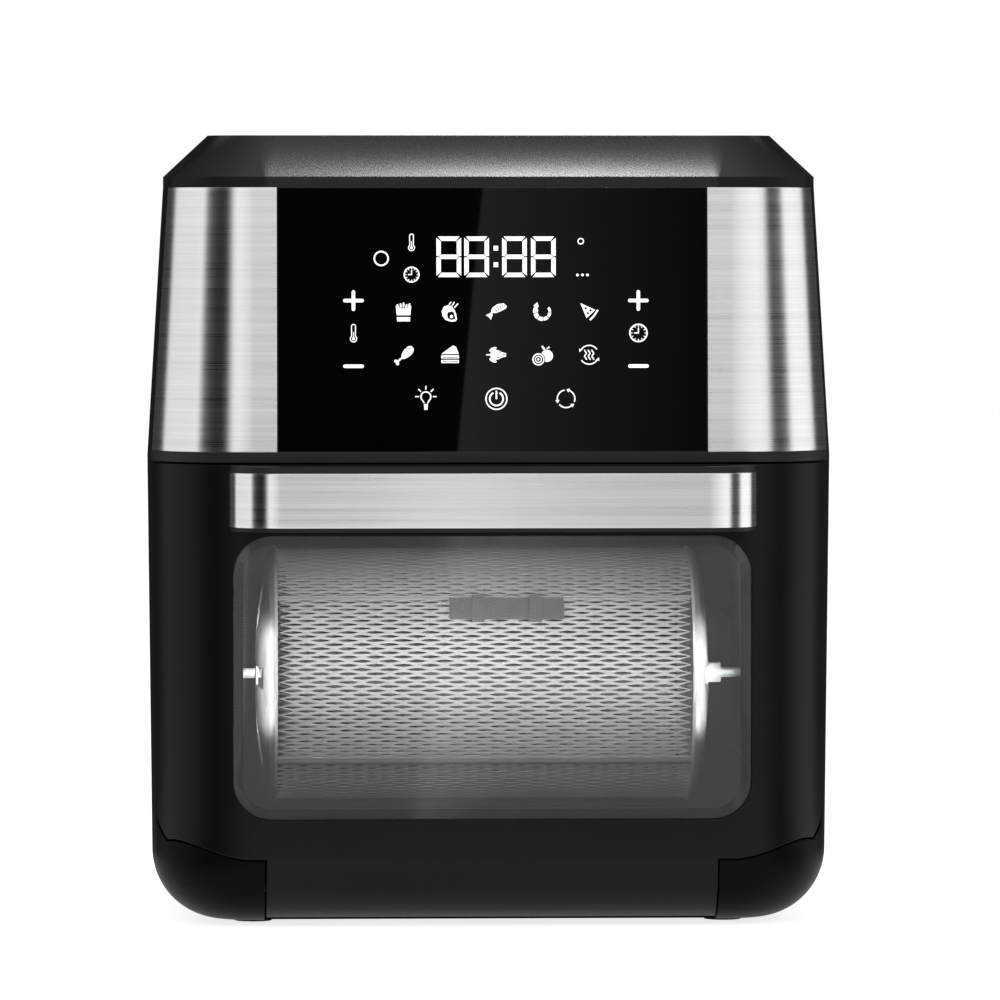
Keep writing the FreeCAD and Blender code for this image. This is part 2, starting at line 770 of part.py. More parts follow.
def door():
    """Door panel with its tongue and knuckles, liner, glasses and seals."""
    outline = door_outline("door_outline", "0", "door_back")
    tongue = box("door_tongue", ("-tongue_half", "tongue_half"),
                 ("front_y - 1", "front_y + tongue_reach"), ("0", "door_low + 2*door_wall"))
    body = shared("door_body", outer, join("door_zone", outline, tongue))
    hollow = door_outline("door_hollow", "-door_wall", "door_back + 1")
    tongue_hollow = box("tongue_hollow", ("-tongue_half + door_wall", "tongue_half - door_wall"),
                        ("front_y", "front_y + tongue_reach + 1"), ("-1", "door_low"))
    void = shared("door_void_full", inner, join("door_hollow_zone", hollow, tongue_hollow))
    body = cut("door_body_clear", body, *rollers("door_roller", "seam_gap", "0"))
    void = cut("door_void", void, *rollers("door_void_roller", "seam_gap + door_wall", "door_wall"))
    window = window_outline("window_cut", "0")
    knuckles = [rod(f"knuckle_{side}", "x", ("hinge_y", "hinge_height"), "knuckle_radius",
                    *ends(side, "tongue_half - knuckle_length", "tongue_half")) for side in (-1, 1)]
    bores = [rod(f"knuckle_bore_{side}", "x", ("hinge_y", "hinge_height"), "hinge_pin_radius + running_fit",
                 *ends(side, "tongue_half - knuckle_length - 1", "tongue_half + 1")) for side in (-1, 1)]
    shell_only = cut("door_shell", body, void, window)
    keep(cut("door_panel", join("door_with_knuckles", shell_only, *knuckles), *bores))
    pins = [rod(f"hinge_pin_{side}", "x", ("hinge_y", "hinge_height"), "hinge_pin_radius",
                *ends(side, "tongue_half - knuckle_length", "tongue_half + hinge_pin_grip"))
            for side in (-1, 1)]
    keep(group("hinge_pins", *pins))
    window_layers()
    door_liner(void)


def ends(side, near, far):
    """Two formulas along X on one side, lower one first."""
    return (near, far) if side > 0 else (f"-({far})", f"-({near})")


def rollers(name, grow, inward):
    """Round clearance about the hinge line, outside the tongue on both sides."""
    return [rod(f"{name}_{side}", "x", ("hinge_y", "hinge_height"), f"roller_radius + {grow}",
                *ends(side, f"tongue_half - {inward}", "body_width")) for side in (-1, 1)]


def window_outline(name, shrink):
    piece = Piece(name)
    piece.pad("XZ", "front_y - 5", "front_depth",
              rounded(f"-window_half + {shrink}", f"window_half - {shrink}", f"window_sill + {shrink}",
                      f"window_head - {shrink}", f"window_radius - ({shrink})"))
    return piece


def window_layers():
    """The window glass in its opening, and the seal that holds its edge from behind."""
    glass_front = lower_form("glass_front", "glass_recess")
    glass_back = lower_form("glass_back", "glass_recess + glass_thickness")
    seal_back = lower_form("seal_back", "glass_recess + glass_thickness + seal_depth")
    glass_layer = cut("glass_layer", glass_front, glass_back)
    keep(shared("window_glass", glass_layer, window_outline("glass_outline", "glass_fit")))
    ring = cut("seal_ring", window_outline("seal_outside", "-1*seal_flange"),
               window_outline("seal_inside", "seal_land"))
    wall_back = lower_form("door_wall_back", "shell_wall")
    seal_layer = cut("seal_layer", wall_back, seal_back)
    plug = shared("seal_plug", cut("plug_layer", outer, glass_back), window_outline("plug_outline", "0"))
    keep(cut("window_seal", shared("seal_strip", ring, seal_layer), plug))


def door_liner(void):
    """Inner face of the door, with the second pane, the gasket round the mouth and the catches."""
    slab = box("liner_slab", WIDE, ("door_back - pane_thickness", "door_back"), ("0", "belt_height"))
    pane_hole = pane_outline("pane_hole", "0")
    groove = gasket("gasket_groove_cut", "door_back - gasket_groove", "gasket_groove + 1")
    plate = cut("liner_open_plate", shared("liner_plate", void, slab), pane_hole, groove)
    striker = rod("switch_striker", "y", ("switch_side", "switch_height"), "striker_radius",
                  "door_back - 1", "split_y + striker_reach")
    keep(join("door_liner", plate, striker))
    keep(pane_outline("inner_glass", "glass_fit"))
    keep(gasket("door_seal", "door_back - gasket_groove", "gasket_groove + seam_gap - soft_gap"))
    plates = [box(f"strike_plate_{side}", *catch_span(side), ("door_back", "door_back + strike_sheet"),
                  catch_rise()) for side in (-1, 1)]
    keep(group("strike_plates", *plates))


def pane_outline(name, shrink):
    piece = Piece(name)
    piece.pad("XZ", "door_back - pane_thickness", "pane_thickness",
              rounded(f"-pane_half + {shrink}", f"pane_half - {shrink}", f"pane_sill + {shrink}",
                      f"pane_head - {shrink}", f"pane_radius - {shrink}"))
    return piece


def gasket(name, place, depth):
    """A ring that follows the mouth's edge a little way out."""
    piece = Piece(name)
    piece.pad("XZ", place, depth, *[
        rounded(f"-cavity_half - ({out})", f"cavity_half + {out}", f"mouth_sill - ({out})",
                f"mouth_lintel + {out}", f"mouth_radius + {out}")
        for out in ("gasket_offset + gasket_width", "gasket_offset")])
    return piece


def bow(name, inset, wall, rise, high):
    """A bar bent back at both ends to meet the door, as seen from above."""
    piece = Piece(name)
    outside = f"handle_half - ({inset})"
    inside = f"handle_half - ({inset}) - ({wall})"
    front = f"handle_front + ({inset})"
    behind = f"handle_front + ({inset}) + ({wall})"
    root = "front_y + door_wall"
    piece.pad("XY", rise, high, polygon(
        (f"-({outside})", root), (f"-({outside})", front), (outside, front), (outside, root),
        (inside, root), (inside, behind), (f"-({inside})", behind), (f"-({inside})", root)))

    def corner_at(y):
        return lambda edge: edge.BoundBox.ZLength > 1 and abs(edge.BoundBox.YMax - y) < 0.01

    piece.fillet(f"handle_round - ({inset})", corner_at(value(front)))
    piece.fillet(f"handle_round - ({inset}) - ({wall})", corner_at(value(behind)))
    return piece


def handle():
    """Moulded grip and the steel cover bent round its front."""
    cover = bow("cover_bow", "0", "steel_sheet", "handle_sill", "handle_height")
    keep(cut("handle_cover", cover, outer))
    grip = bow("grip_bow", "steel_sheet", "grip_wall", "handle_sill - grip_lip",
               "handle_height + grip_lip + grip_crown")
    keep(cut("handle_grip", grip, outer))


def liner():
    """Sheet-metal oven box in five panels, with runners, tray, lamp and probe."""
    across = ("-cavity_half - sheet", "cavity_half + sheet")
    deep = ("cavity_front", "cavity_back")
    keep(box("liner_left", ("-cavity_half - sheet", "-cavity_half"), deep, ("cavity_floor", "cavity_ceiling")))
    right = box("liner_right_sheet", ("cavity_half", "cavity_half + sheet"), deep,
                ("cavity_floor", "cavity_ceiling"))
    through = ("cavity_half - 1", "cavity_half + sheet + 1")
    drive_hole = rod("drive_hole", "x", ("cavity_middle", "drum_height"), "socket_radius + seam_gap", *through)
    keep(cut("liner_right", right, drive_hole))
    keep(box("liner_floor", across, deep, ("cavity_floor - sheet", "cavity_floor")))
    back = box("liner_back_sheet", across, ("cavity_back", "cavity_back + sheet"),
               ("cavity_floor - sheet", "ceiling_top"))
    probe_hole = rod("probe_hole", "y", ("probe_side", "probe_height"), "probe_radius",
                     "cavity_back - 1", "cavity_back + sheet + 1")
    lamp_hole = lamp_block("lamp_hole", "0", "cavity_back - 1", "cavity_back + sheet + 1")
    keep(cut("liner_back", back, probe_hole, lamp_hole))
    top = box("liner_ceiling_sheet", across, deep, ("cavity_ceiling", "ceiling_top"))
    holes = [rod(f"ceiling_hole_{index}", "z", (x, y), radius, "cavity_ceiling - 1", "ceiling_top + 1")
             for index, (x, y, radius) in enumerate((
                 ("0", "cavity_middle", "shaft_hole"),
                 ("-heater_ends", "heater_rear", "heater_sleeve"),
                 ("heater_ends", "heater_rear", "heater_sleeve")))]
    keep(cut("liner_ceiling", top, *holes))
    keep(rack_runners())
    keep(drip_tray())
    lamp()
    keep(rod("temperature_probe", "y", ("probe_side", "probe_height"), "probe_radius",
             "cavity_back - probe_reach", "cavity_back + probe_reach/2"))


def rack_runners():
    """Angle strips on both side walls, at two levels."""
    strips = []
    for level in ("runner_low", "runner_high"):
        piece = Piece(f"{level}_strip")
        piece.pad("XZ", "cavity_front + 4", "cavity_depth - 8", polygon(
            ("-cavity_half", level), ("-cavity_half + runner_reach", level),
            ("-cavity_half + runner_reach", f"{level} + sheet"), ("-cavity_half + sheet", f"{level} + sheet"),
            ("-cavity_half + sheet", f"{level} + runner_lip"), ("-cavity_half", f"{level} + runner_lip")))
        strips += [piece, mirrored(f"{level}_strip_right", piece)]
    return group("rack_runners", *strips)


def drip_tray():
    """Shallow pan on the oven floor."""
    tray = Piece("drip_tray")
    spans = [(f"-cavity_half + tray_margin + {wall}", f"cavity_half - tray_margin - {wall}",
              f"cavity_front + tray_margin + {wall}", f"cavity_back - tray_margin - {wall}",
              f"tray_radius - {wall}") for wall in ("0", "drum_sheet")]
    tray.pad("XY", "cavity_floor", "tray_height", rounded(*spans[0]))
    tray.pocket("XY", "cavity_floor + drum_sheet", "tray_height", rounded(*spans[1]))
    return tray


def lamp_block(name, grow, near, far):
    """A square block on the lamp's axis, grown by a border, between two depths."""
    reach = f"lamp_half + {grow}"
    return box(name, (f"lamp_side - ({reach})", f"lamp_side + {reach}"), (near, far),
               (f"lamp_height - ({reach})", f"lamp_height + {reach}"))


def lamp():
    """Square glass over the hole in the back wall, and the lamp holder behind it."""
    cover = lamp_block("lens_cover", "lamp_border", "cavity_back - 3*sheet", "cavity_back")
    plug = lamp_block("lens_plug", "0", "cavity_back - sheet", "cavity_back + 2*sheet")
    keep(join("lamp_lens", cover, plug))
    cup = lamp_block("lamp_cup", "lamp_border", "cavity_back + sheet", "cavity_back + lamp_depth")
    seat = lamp_block("lamp_cup_seat", "0", "cavity_back", "cavity_back + 2*sheet")
    keep(cut("lamp_holder", cup, seat))


def heater():
    """One tube: a square loop with cut corners, both ends in sleeves that rise through the ceiling."""
    tube = Piece("heater_element")
    side, straight = "heater_side", "heater_side - heater_corner"
    half = [("heater_ends", side), (straight, side), (side, straight), (side, f"-({straight})"),
            (straight, f"-{side}")]
    loop = half + [(f"-({x})", y) for x, y in reversed(half)]
    path = tube.sketch("XY", "0", polygon(*loop, closed=False))
    tube.pipe(tube.sketch("YZ", "heater_ends", circle(side, "0", "heater_tube")), path)
    tube.pad("XY", "-heater_sleeve", "ceiling_top + heater_tail - heater_height + heater_sleeve",
             circle("-heater_ends", side, "heater_sleeve"), circle("heater_ends", side, "heater_sleeve"))
    keep(tube.move(y="cavity_middle", z="heater_height"))
    rise = ("heater_height + heater_tube", "cavity_ceiling")
    clips = [box("heater_clip_front", ("-clip_width/2", "clip_width/2"),
                 ("cavity_middle - heater_side - sheet", "cavity_middle - heater_side + sheet"), rise)]
    clips += [box(f"heater_clip_{side}", (f"{side}*heater_side - sheet", f"{side}*heater_side + sheet"),
                  ("cavity_middle + 2*clip_width", "cavity_middle + 3*clip_width"), rise) for side in (-1, 1)]
    keep(group("heater_clips", *clips))


def fan_guard():
    """Slotted disc under the heater, hung on four posts."""
    guard = Piece("fan_guard")
    guard.pad("XY", "0", "guard_sheet", circle("0", "0", "guard_radius"))
    for near, far, width, count in (("0.24", "0.5", "6", 12), ("0.57", "0.88", "9", 18)):
        slot = guard.pocket("XY", "-1", "guard_sheet + 2", rectangle(
            f"{near}*guard_radius", f"{far}*guard_radius", f"-{width}/2", f"{width}/2"))
        guard.around("Z", slot, count)
    post = guard.pad("XY", "guard_sheet/2", "cavity_ceiling - guard_height - guard_sheet/2",
                     circle("0.93*guard_radius", "0", "guard_post"))
    guard.around("Z", post, 4)
    keep(guard.move(y="cavity_middle", z="guard_height"))


def impeller(name, radius, height, blades, disc_above):
    """A disc with straight blades and a hub bored for the shaft."""
    fan = Piece(name)
    disc = f"{height} - blade_sheet" if disc_above else "0"
    fan.pad("XY", disc, "blade_sheet", circle("0", "0", radius))
    fan.pad("XY", "0", height, circle("0", "0", "hub_radius"))
    blade = fan.pad("XY", "0", height, rectangle("hub_radius + 8", f"{radius} - 1", "-blade_sheet/2",
                                                 "blade_sheet/2"))
    fan.around("Z", blade, blades)
    fan.pocket("XY", "-1", f"{height} + 2", circle("0", "0", "shaft_radius"))
    return fan


def fans():
    """Hot-air fan in the cavity and cooling fan above it, on the motor's shaft."""
    hot = impeller("hot_fan", "hot_fan_radius", "hot_fan_height", 8, True)
    keep(hot.move(y="cavity_middle", z="cavity_ceiling - fan_gap - hot_fan_height"))
    cool = impeller("cooling_fan", "cool_fan_radius", "cool_fan_height", 8, False)
    keep(cool.move(y="cavity_middle", z="shield_top + fan_gap"))
    centre = ("0", "cavity_middle")
    keep(rod("fan_shaft", "z", centre, "shaft_radius", "cavity_ceiling - 2*fan_gap - hot_fan_height",
             "bracket_top + motor_height/2"))
    motor = rod("motor_case", "z", centre, "motor_radius", "bracket_top", "bracket_top + motor_height")
    cap = rod("motor_cap", "z", centre, "motor_radius/2", "bracket_top + motor_height",
              "bracket_top + motor_height + 4")
    bore = rod("motor_bore", "z", centre, "shaft_radius + running_fit", "bracket_top - 1",
               "bracket_top + motor_height/2 + soft_gap")
    keep(cut("fan_motor", join("motor_solid", motor, cap), bore))


def motor_bracket():
    """Bridge that holds the motor above the heat shield, and the shield with its two feet."""
    bridge = box("bridge_plate", ("-bracket_side", "bracket_side"),
                 ("cavity_middle - bracket_side", "cavity_middle + bracket_side"), ("bracket_low", "bracket_top"))
    legs = [box(f"bridge_leg_{across}_{along}",
                ends(across, "bracket_side - bracket_sheet", "bracket_side"),
                (f"cavity_middle + {along}*(bracket_side - leg_width) - leg_width",
                 f"cavity_middle + {along}*(bracket_side - leg_width) + leg_width"), ("shield_top", "bracket_low"))
            for across in (-1, 1) for along in (-1, 1)]
    hole = rod("bridge_hole", "z", ("0", "cavity_middle"), "shaft_hole", "bracket_low - 1", "bracket_top + 1")
    keep(cut("motor_bracket", join("bridge", bridge, *legs), hole))
    deep = ("cavity_front + 2*tray_margin", "cavity_back")
    plate = box("shield_plate", ("-shield_side", "shield_side"), deep, ("shield_low", "shield_top"))
    feet = [box(f"shield_foot_{side}", ends(side, "shield_side - sheet", "shield_side"), deep,
                ("ceiling_top", "shield_low")) for side in (-1, 1)]
    gaps = [rod("shield_hole", "z", ("0", "cavity_middle"), "shaft_hole", "shield_low - 1", "shield_top + 1"),
            box("tail_slot", ("-2*heater_ends", "2*heater_ends"),
                ("heater_rear - 2*heater_sleeve", "heater_rear + 2*heater_sleeve"),
                ("shield_low - 1", "shield_top + 1"))]
    keep(cut("heat_shield", join("shield_solid", plate, *feet), *gaps))


def power_board():
    """Supply board on four posts at the back of the shield, with its largest components."""
    board = Piece("power_board")
    board.pad("XY", "4", "board_sheet", rectangle("-30", "30", "-22", "22"))
    board.pad("XY", "0", "4", *[rectangle(*ends(x, "23", "28"), *ends(y, "16", "21"))
                                for x in (-1, 1) for y in (-1, 1)])
    top = "4 + board_sheet/2"
    board.pad("XY", top, "22", rectangle("-24", "4", "-18", "10"))
    board.pad("XY", top, "15", rectangle("9", "25", "-18", "-2"))
    board.pad("XY", top, "18", circle("16", "10", "7"))
    keep(board.move(x="shield_side - 35", y="cavity_middle + bracket_side + 3*fan_gap + 16", z="shield_top"))


def drum():
    """Mesh drum with domed ends, a closed door, its hinge and a sliding latch."""
    centre = dict(y="cavity_middle", z="drum_height")
    reach = "drum_half - end_dome - rim_sheet"
    mesh = Piece("drum_mesh")
    mesh.revolve("XY", rectangle(f"-({reach})", reach, "drum_radius - drum_sheet", "drum_radius"),
                 "H_Axis", "360 - drum_door_angle")
    perforate(mesh, "drum_radius - 4*drum_sheet")
    keep(mesh.move(**centre))
    flap = Piece("drum_door")
    edge = "drum_half - rim_width - drum_door_gap"
    flap.revolve("XY", rectangle(f"-({edge})", edge, "-drum_radius", "-drum_radius + drum_sheet"),
                 "H_Axis", "drum_door_angle - 2*drum_door_gap/drum_radius*180/pi")
    perforate(flap, "-drum_radius - 4*drum_sheet")
    keep(flap.move(**centre))
    hinge = Piece("drum_hinge")
    hinge.pad("YZ", "-drum_half + rim_width", "2*drum_half - 2*rim_width",
              circle("-drum_radius - drum_hinge_radius", "0", "drum_hinge_radius"))
    keep(hinge.move(**centre, turn="drum_door_angle/2"))
    for side, name in ((-1, "drum_end_left"), (1, "drum_end_right")):
        keep(drum_end(name, side).move(**centre))
    drum_pins(centre)
    drum_latch(centre)


def perforate(piece, place):
    """One row of slots through the wall, repeated all the way round the drum."""
    columns = range(-2, 3)
    slots = [rectangle(f"{i}*mesh_slot_pitch - mesh_slot_length/2", f"{i}*mesh_slot_pitch + mesh_slot_length/2",
                       "-mesh_slot_height/2", "mesh_slot_height/2") for i in columns]
    row = piece.pocket("XZ", place, "8*drum_sheet", *slots)
    piece.around("X", row, 16)


def drum_end(name, side):
    """Pressed end: a domed disc, elliptic in section, with vents and a short rim round the mesh."""
    end = Piece(name)
    shares = (1, 0.96, 0.88, 0.73, 0.5, 0.2)
    outer, inner = [], []
    for share in shares:
        swell = math.sqrt((1 - share**2)/(1 - shares[-1]**2))
        outer.append((f"drum_half - end_dome + end_dome*{swell:.4f}", f"rim_radius*{share}"))
        inner.append((f"drum_half - end_dome + (end_dome - rim_sheet)*{swell:.4f}", f"drum_radius*{share}"))
    section = [("drum_half - rim_width", "drum_radius"), ("drum_half - rim_width", "rim_radius"), *outer,
               ("drum_half", "drum_pin_radius"), ("drum_half - rim_sheet", "drum_pin_radius"), *reversed(inner)]
    end.revolve("XZ", polygon(*((f"{side}*({x})", r) for x, r in section)), "H_Axis")
    vent = end.pocket("YZ", ends(side, "drum_half - end_dome", "drum_half + 1")[0], "end_dome + 1", rectangle(
        "0.3*drum_radius", "0.8*drum_radius", "-0.08*drum_radius", "0.08*drum_radius"))
    end.around("X", vent, 6)
    return end


def drum_pins(centre):
    """Idle pin with its collar on the left, drive pin with its hub on the right."""
    idle = Piece("drum_idle_pin")
    inside = "drum_half - 3*rim_sheet"
    idle.revolve("XZ", polygon(
        (f"-({inside})", "0"), (f"-({inside})", "drum_pin_radius"),
        ("-idle_face - seam_gap", "drum_pin_radius"), ("-idle_face - seam_gap", "drum_collar_radius"),
        ("-idle_face - seam_gap - drum_collar", "drum_collar_radius"),
        ("-idle_face - seam_gap - drum_collar", "0")), "H_Axis")
    keep(idle.move(**centre))
    drive = Piece("drum_drive_pin")
    drive.revolve("XZ", polygon(
        (inside, "0"), (inside, "drum_pin_radius"), ("drum_half", "drum_pin_radius"),
        ("drum_half", "drum_hub_radius"), ("drum_half + drum_hub_length", "drum_hub_radius"),
        ("drum_half + drum_hub_length", "drum_pin_radius"),
        ("socket_inner + drive_depth - soft_gap", "drum_pin_radius"),
        ("socket_inner + drive_depth - soft_gap", "0")), "H_Axis")
    keep(drive.move(**centre))


def drum_latch(centre):
    """Sliding bar under two straps at the drum door's free edge."""
    latch = Piece("drum_latch")
    latch.pad("XZ", "-latch_top", "latch_sheet",
              rectangle("latch_offset - latch_length/2", "latch_offset + latch_length/2", "-latch_width/2",
                        "latch_width/2"))
    keep(latch.move(**centre, turn="-1*latch_angle"))
    straps = Piece("latch_guides")
    inside = "latch_width/2 + latch_clearance"
    outside = f"{inside} + guide_sheet"
    under = "-latch_top - latch_clearance"
    foot = f"-1*sqrt(drum_radius^2 - ({inside})^2) - 0.02"
    for side in (-1, 1):
        straps.pad("YZ", f"latch_offset + {side}*latch_length/4 - guide_width/2", "guide_width", polygon(
            (foot, f"-({outside})"), (f"{under} - guide_sheet", f"-({outside})"),
            (f"{under} - guide_sheet", outside), (foot, outside), (foot, inside), (under, inside),
            (under, f"-({inside})"), (foot, f"-({inside})")))
    keep(straps.move(**centre, turn="-1*latch_angle"))


def drum_drive():
    """Idle bracket on the left wall; socket, gear motor and its standoffs on the right."""
    bracket = Piece("idle_bracket")
    reach = "idle_width/2"
    bracket.pad("YZ", "-idle_face", "idle_sheet",
                rectangle(f"-{reach}", reach, "-idle_rise", "idle_rise/2"))
    slot = "drum_pin_radius + running_fit"
    bracket.pocket("YZ", "-idle_face - 1", "idle_sheet + 2", circle("0", "0", slot))
    bracket.pocket("YZ", "-idle_face - 1", "idle_sheet + 2", rectangle(f"-({slot})", slot, "0", "idle_rise"))
    for low, high in ((f"-{reach}", f"-{reach} + idle_sheet"), (f"{reach} - idle_sheet", reach)):
        bracket.pad("YZ", "-cavity_half", "bracket_gap + idle_sheet",
                    rectangle(low, high, "-idle_rise", "idle_rise/2"))
    keep(bracket.move(y="cavity_middle", z="drum_height"))
    socket = Piece("drive_socket")
    bore = "drum_pin_radius + running_fit"
    socket.revolve("XZ", polygon(
        ("socket_inner", bore), ("socket_inner", "socket_radius"), ("socket_outer", "socket_radius"),
        ("socket_outer", "standoff_radius"), ("socket_outer + 2*soft_gap + sheet", "standoff_radius"),
        ("socket_outer + 2*soft_gap + sheet", "0"), ("socket_inner + drive_depth", "0"),
        ("socket_inner + drive_depth", bore)), "H_Axis")
    keep(socket.move(y="cavity_middle", z="drum_height"))
    motor_face = "socket_outer + soft_gap"
    centre = ("cavity_middle", "drum_height")
    case = rod("gear_case", "x", centre, "gear_motor_radius", motor_face, f"{motor_face} + gear_motor_length")
    seat = rod("gear_bore", "x", centre, "standoff_radius + running_fit", f"{motor_face} - 1",
               "socket_outer + 3*soft_gap + sheet")
    posts = [box(f"gear_post_{side}", ("cavity_half + sheet", f"{motor_face} + 1"),
                 (f"cavity_middle + {side}*standoff_spread - standoff_radius",
                  f"cavity_middle + {side}*standoff_spread + standoff_radius"),
                 ("drum_height - standoff_radius", "drum_height + standoff_radius")) for side in (-1, 1)]
    keep(cut("rotisserie_motor", join("gear_solid", case, *posts), seat))


def door_switch():
    """Plunger switch behind the front frame, pressed by the door's striker."""
    across = ("switch_side - switch_width/2", "switch_side + switch_width/2")
    rise = ("switch_height - switch_rise/2", "switch_height + switch_rise/2")
    case = box("switch_case", across, ("cavity_front", "cavity_front + switch_depth"), rise)
    centre = ("switch_side", "switch_height")
    bore = rod("switch_bore", "y", centre, "plunger_radius + running_fit", "cavity_front - 1",
               "cavity_front + switch_depth/2 + soft_gap")
    keep(cut("switch_body", case, bore))
    keep(rod("switch_plunger", "y", centre, "plunger_radius", "plunger_tip", "cavity_front + switch_depth/2"))


def cord_gland():
    """Bush where the cord enters the rear wall."""
    wall_lean = "base_inset*(belt_height - gland_height - gland_flange)/(belt_height - foot_height)"
    seat = f"back_y - {wall_lean}"
    centre = ("-gland_side", "gland_height")
    neck = rod("gland_neck", "y", centre, "gland_radius", f"{seat} - 3*shell_wall", seat)
    flange = rod("gland_rim", "y", centre, "gland_flange", seat, f"{seat} + shell_wall/2")
    bore = rod("gland_hole", "y", centre, "gland_bore", f"{seat} - 4*shell_wall", f"{seat} + shell_wall")
    keep(cut("cord_gland", join("gland_solid", neck, flange), bore))


housing_panels()
base()
front_frame()
lid()
control_panel()
door()
handle()
liner()
heater()
fan_guard()
fans()
motor_bracket()
power_board()
drum()
drum_drive()
door_switch()
cord_gland()
doc.recompute()

for item in doc.Objects:
    if "Invalid" in item.State or "Error" in item.State:
        raise RuntimeError(f"{item.Name} did not build")
os.makedirs("parts", exist_ok=True)
for node in NODES:
    if node.Shape.isNull() or not node.Shape.isValid() or not node.Shape.Solids:
        raise RuntimeError(f"{node.Label} has no valid solid")
    node.Shape.exportStep(f"parts/{node.Label}.step")
print(f"{len(NODES)} sub-parts, {sum(len(node.Shape.Solids) for node in NODES)} solids")
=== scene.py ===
import json
import math

import bmesh
import bpy
import numpy as np
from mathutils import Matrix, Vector


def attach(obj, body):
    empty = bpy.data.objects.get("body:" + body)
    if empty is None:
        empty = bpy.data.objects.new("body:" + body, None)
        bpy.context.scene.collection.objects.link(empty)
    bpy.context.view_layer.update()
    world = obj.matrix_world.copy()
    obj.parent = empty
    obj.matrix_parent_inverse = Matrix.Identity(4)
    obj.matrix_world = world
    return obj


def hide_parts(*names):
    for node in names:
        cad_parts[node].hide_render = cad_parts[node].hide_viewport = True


# Countertop air fryer oven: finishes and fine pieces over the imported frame, in metres, front towards -Y.
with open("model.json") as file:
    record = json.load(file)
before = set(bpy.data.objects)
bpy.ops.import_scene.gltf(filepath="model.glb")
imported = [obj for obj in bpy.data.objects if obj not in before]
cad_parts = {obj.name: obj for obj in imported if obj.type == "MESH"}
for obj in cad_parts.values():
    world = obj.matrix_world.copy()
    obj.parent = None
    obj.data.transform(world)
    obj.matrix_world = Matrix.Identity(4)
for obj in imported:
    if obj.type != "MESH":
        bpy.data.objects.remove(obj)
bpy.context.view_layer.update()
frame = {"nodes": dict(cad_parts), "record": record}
nodes = frame["nodes"]
slotOf = {row["node"]: row["material_slot"] for row in frame["record"]["subparts"]}
print("frame:", len(nodes), "nodes")


class Wire:  # a shader socket that takes part in sums
    def __init__(self, finish, socket):
        self.finish = finish
        self.socket = socket

    def calc(self, operation, *parts):
        return self.finish.node("ShaderNodeMath", {"operation": operation}, dict(enumerate(parts)))

    def __add__(self, other):
        return self.calc("ADD", self, other)

    def __radd__(self, other):
        return self.calc("ADD", other, self)

    def __sub__(self, other):
        return self.calc("SUBTRACT", self, other)

    def __rsub__(self, other):
        return self.calc("SUBTRACT", other, self)

    def __mul__(self, other):
        return self.calc("MULTIPLY", self, other)

    def __rmul__(self, other):
        return self.calc("MULTIPLY", other, self)

    def __truediv__(self, other):
        return self.calc("DIVIDE", self, other)

    def __pow__(self, other):
        return self.calc("POWER", self, other)

    def __gt__(self, other):
        return self.calc("GREATER_THAN", self, other)

    def __lt__(self, other):
        return self.calc("LESS_THAN", self, other)

    def clip(self):
        return self.calc("MINIMUM", self.calc("MAXIMUM", self, 0.0), 1.0)


class Finish:  # a material, or the world, built node by node
    def __init__(self, name, tree=None):
        self.material = None if tree else bpy.data.materials.new(name)
        if self.material:
            self.material.use_nodes = True
        self.tree = tree or self.material.node_tree
        self.tree.nodes.clear()

    def node(self, kind, settings=None, inputs=None, out=0):
        made = self.tree.nodes.new(kind)
        for key, setting in (settings or {}).items():
            setattr(made, key, setting)
        for key, entry in (inputs or {}).items():
            if isinstance(entry, Wire):
                self.tree.links.new(entry.socket, made.inputs[key])
            else:
                made.inputs[key].default_value = entry
        return Wire(self, made.outputs[out]) if len(made.outputs) else None

    def place(self, scale=(1, 1, 1)):  # object coordinates in metres, stretched per axis
        spot = self.node("ShaderNodeTexCoord", out="Object")
        return self.node("ShaderNodeMapping", {}, {"Vector": spot, "Scale": scale})

    def axis(self, letter):  # one object coordinate
        return self.node("ShaderNodeSeparateXYZ", {}, {0: self.place()}, out=letter)

    def noise(self, scale, detail=2.0, stretch=(1, 1, 1)):
        inputs = {"Vector": self.place(stretch), "Scale": scale, "Detail": detail}
        return self.node("ShaderNodeTexNoise", {}, inputs)

    def between(self, factor, low, high):  # two colours mixed by a value
        return self.node("ShaderNodeMix", {"data_type": "RGBA"}, {0: factor, 6: low, 7: high}, out=2)

    def round(self, radius):  # normal with the sharp edges softened
        return self.node("ShaderNodeBevel", {"samples": 6}, {"Radius": radius})

    def bump(self, height, strength, depth, normal=None):
        inputs = {"Strength": strength, "Distance": depth, "Height": height}
        if normal:
            inputs["Normal"] = normal
        return self.node("ShaderNodeBump", {}, inputs)

    def seen(self):  # 1 for rays of the camera, gloss and glass
        path = [self.node("ShaderNodeLightPath", out=kind)
                for kind in ("Is Camera Ray", "Is Glossy Ray", "Is Transmission Ray")]
        return (path[0] + path[1] + path[2]).clip()

    def shader(self, **inputs):  # keywords are the shader's sockets: baseColor for Base Color
        keys = {key[0].upper() + "".join(" " + c if c.isupper() else c for c in key[1:]): entry
                for key, entry in inputs.items()}
        keys = {key.replace("I O R", "IOR"): entry for key, entry in keys.items()}
        return self.node("ShaderNodeBsdfPrincipled", {}, keys)

    def surface(self, shader=None, **inputs):
        self.node("ShaderNodeOutputMaterial", {}, {"Surface": shader or self.shader(**inputs)})
        return self.material

    def glow(self, strength):  # white light
        return self.node("ShaderNodeEmission", {}, {"Color": grey(1.0), "Strength": strength})


def grey(tone, warm=0.0):
    return (tone*(1 + warm), tone, tone*(1 - warm), 1)


# Finishes, one for each slot of the record

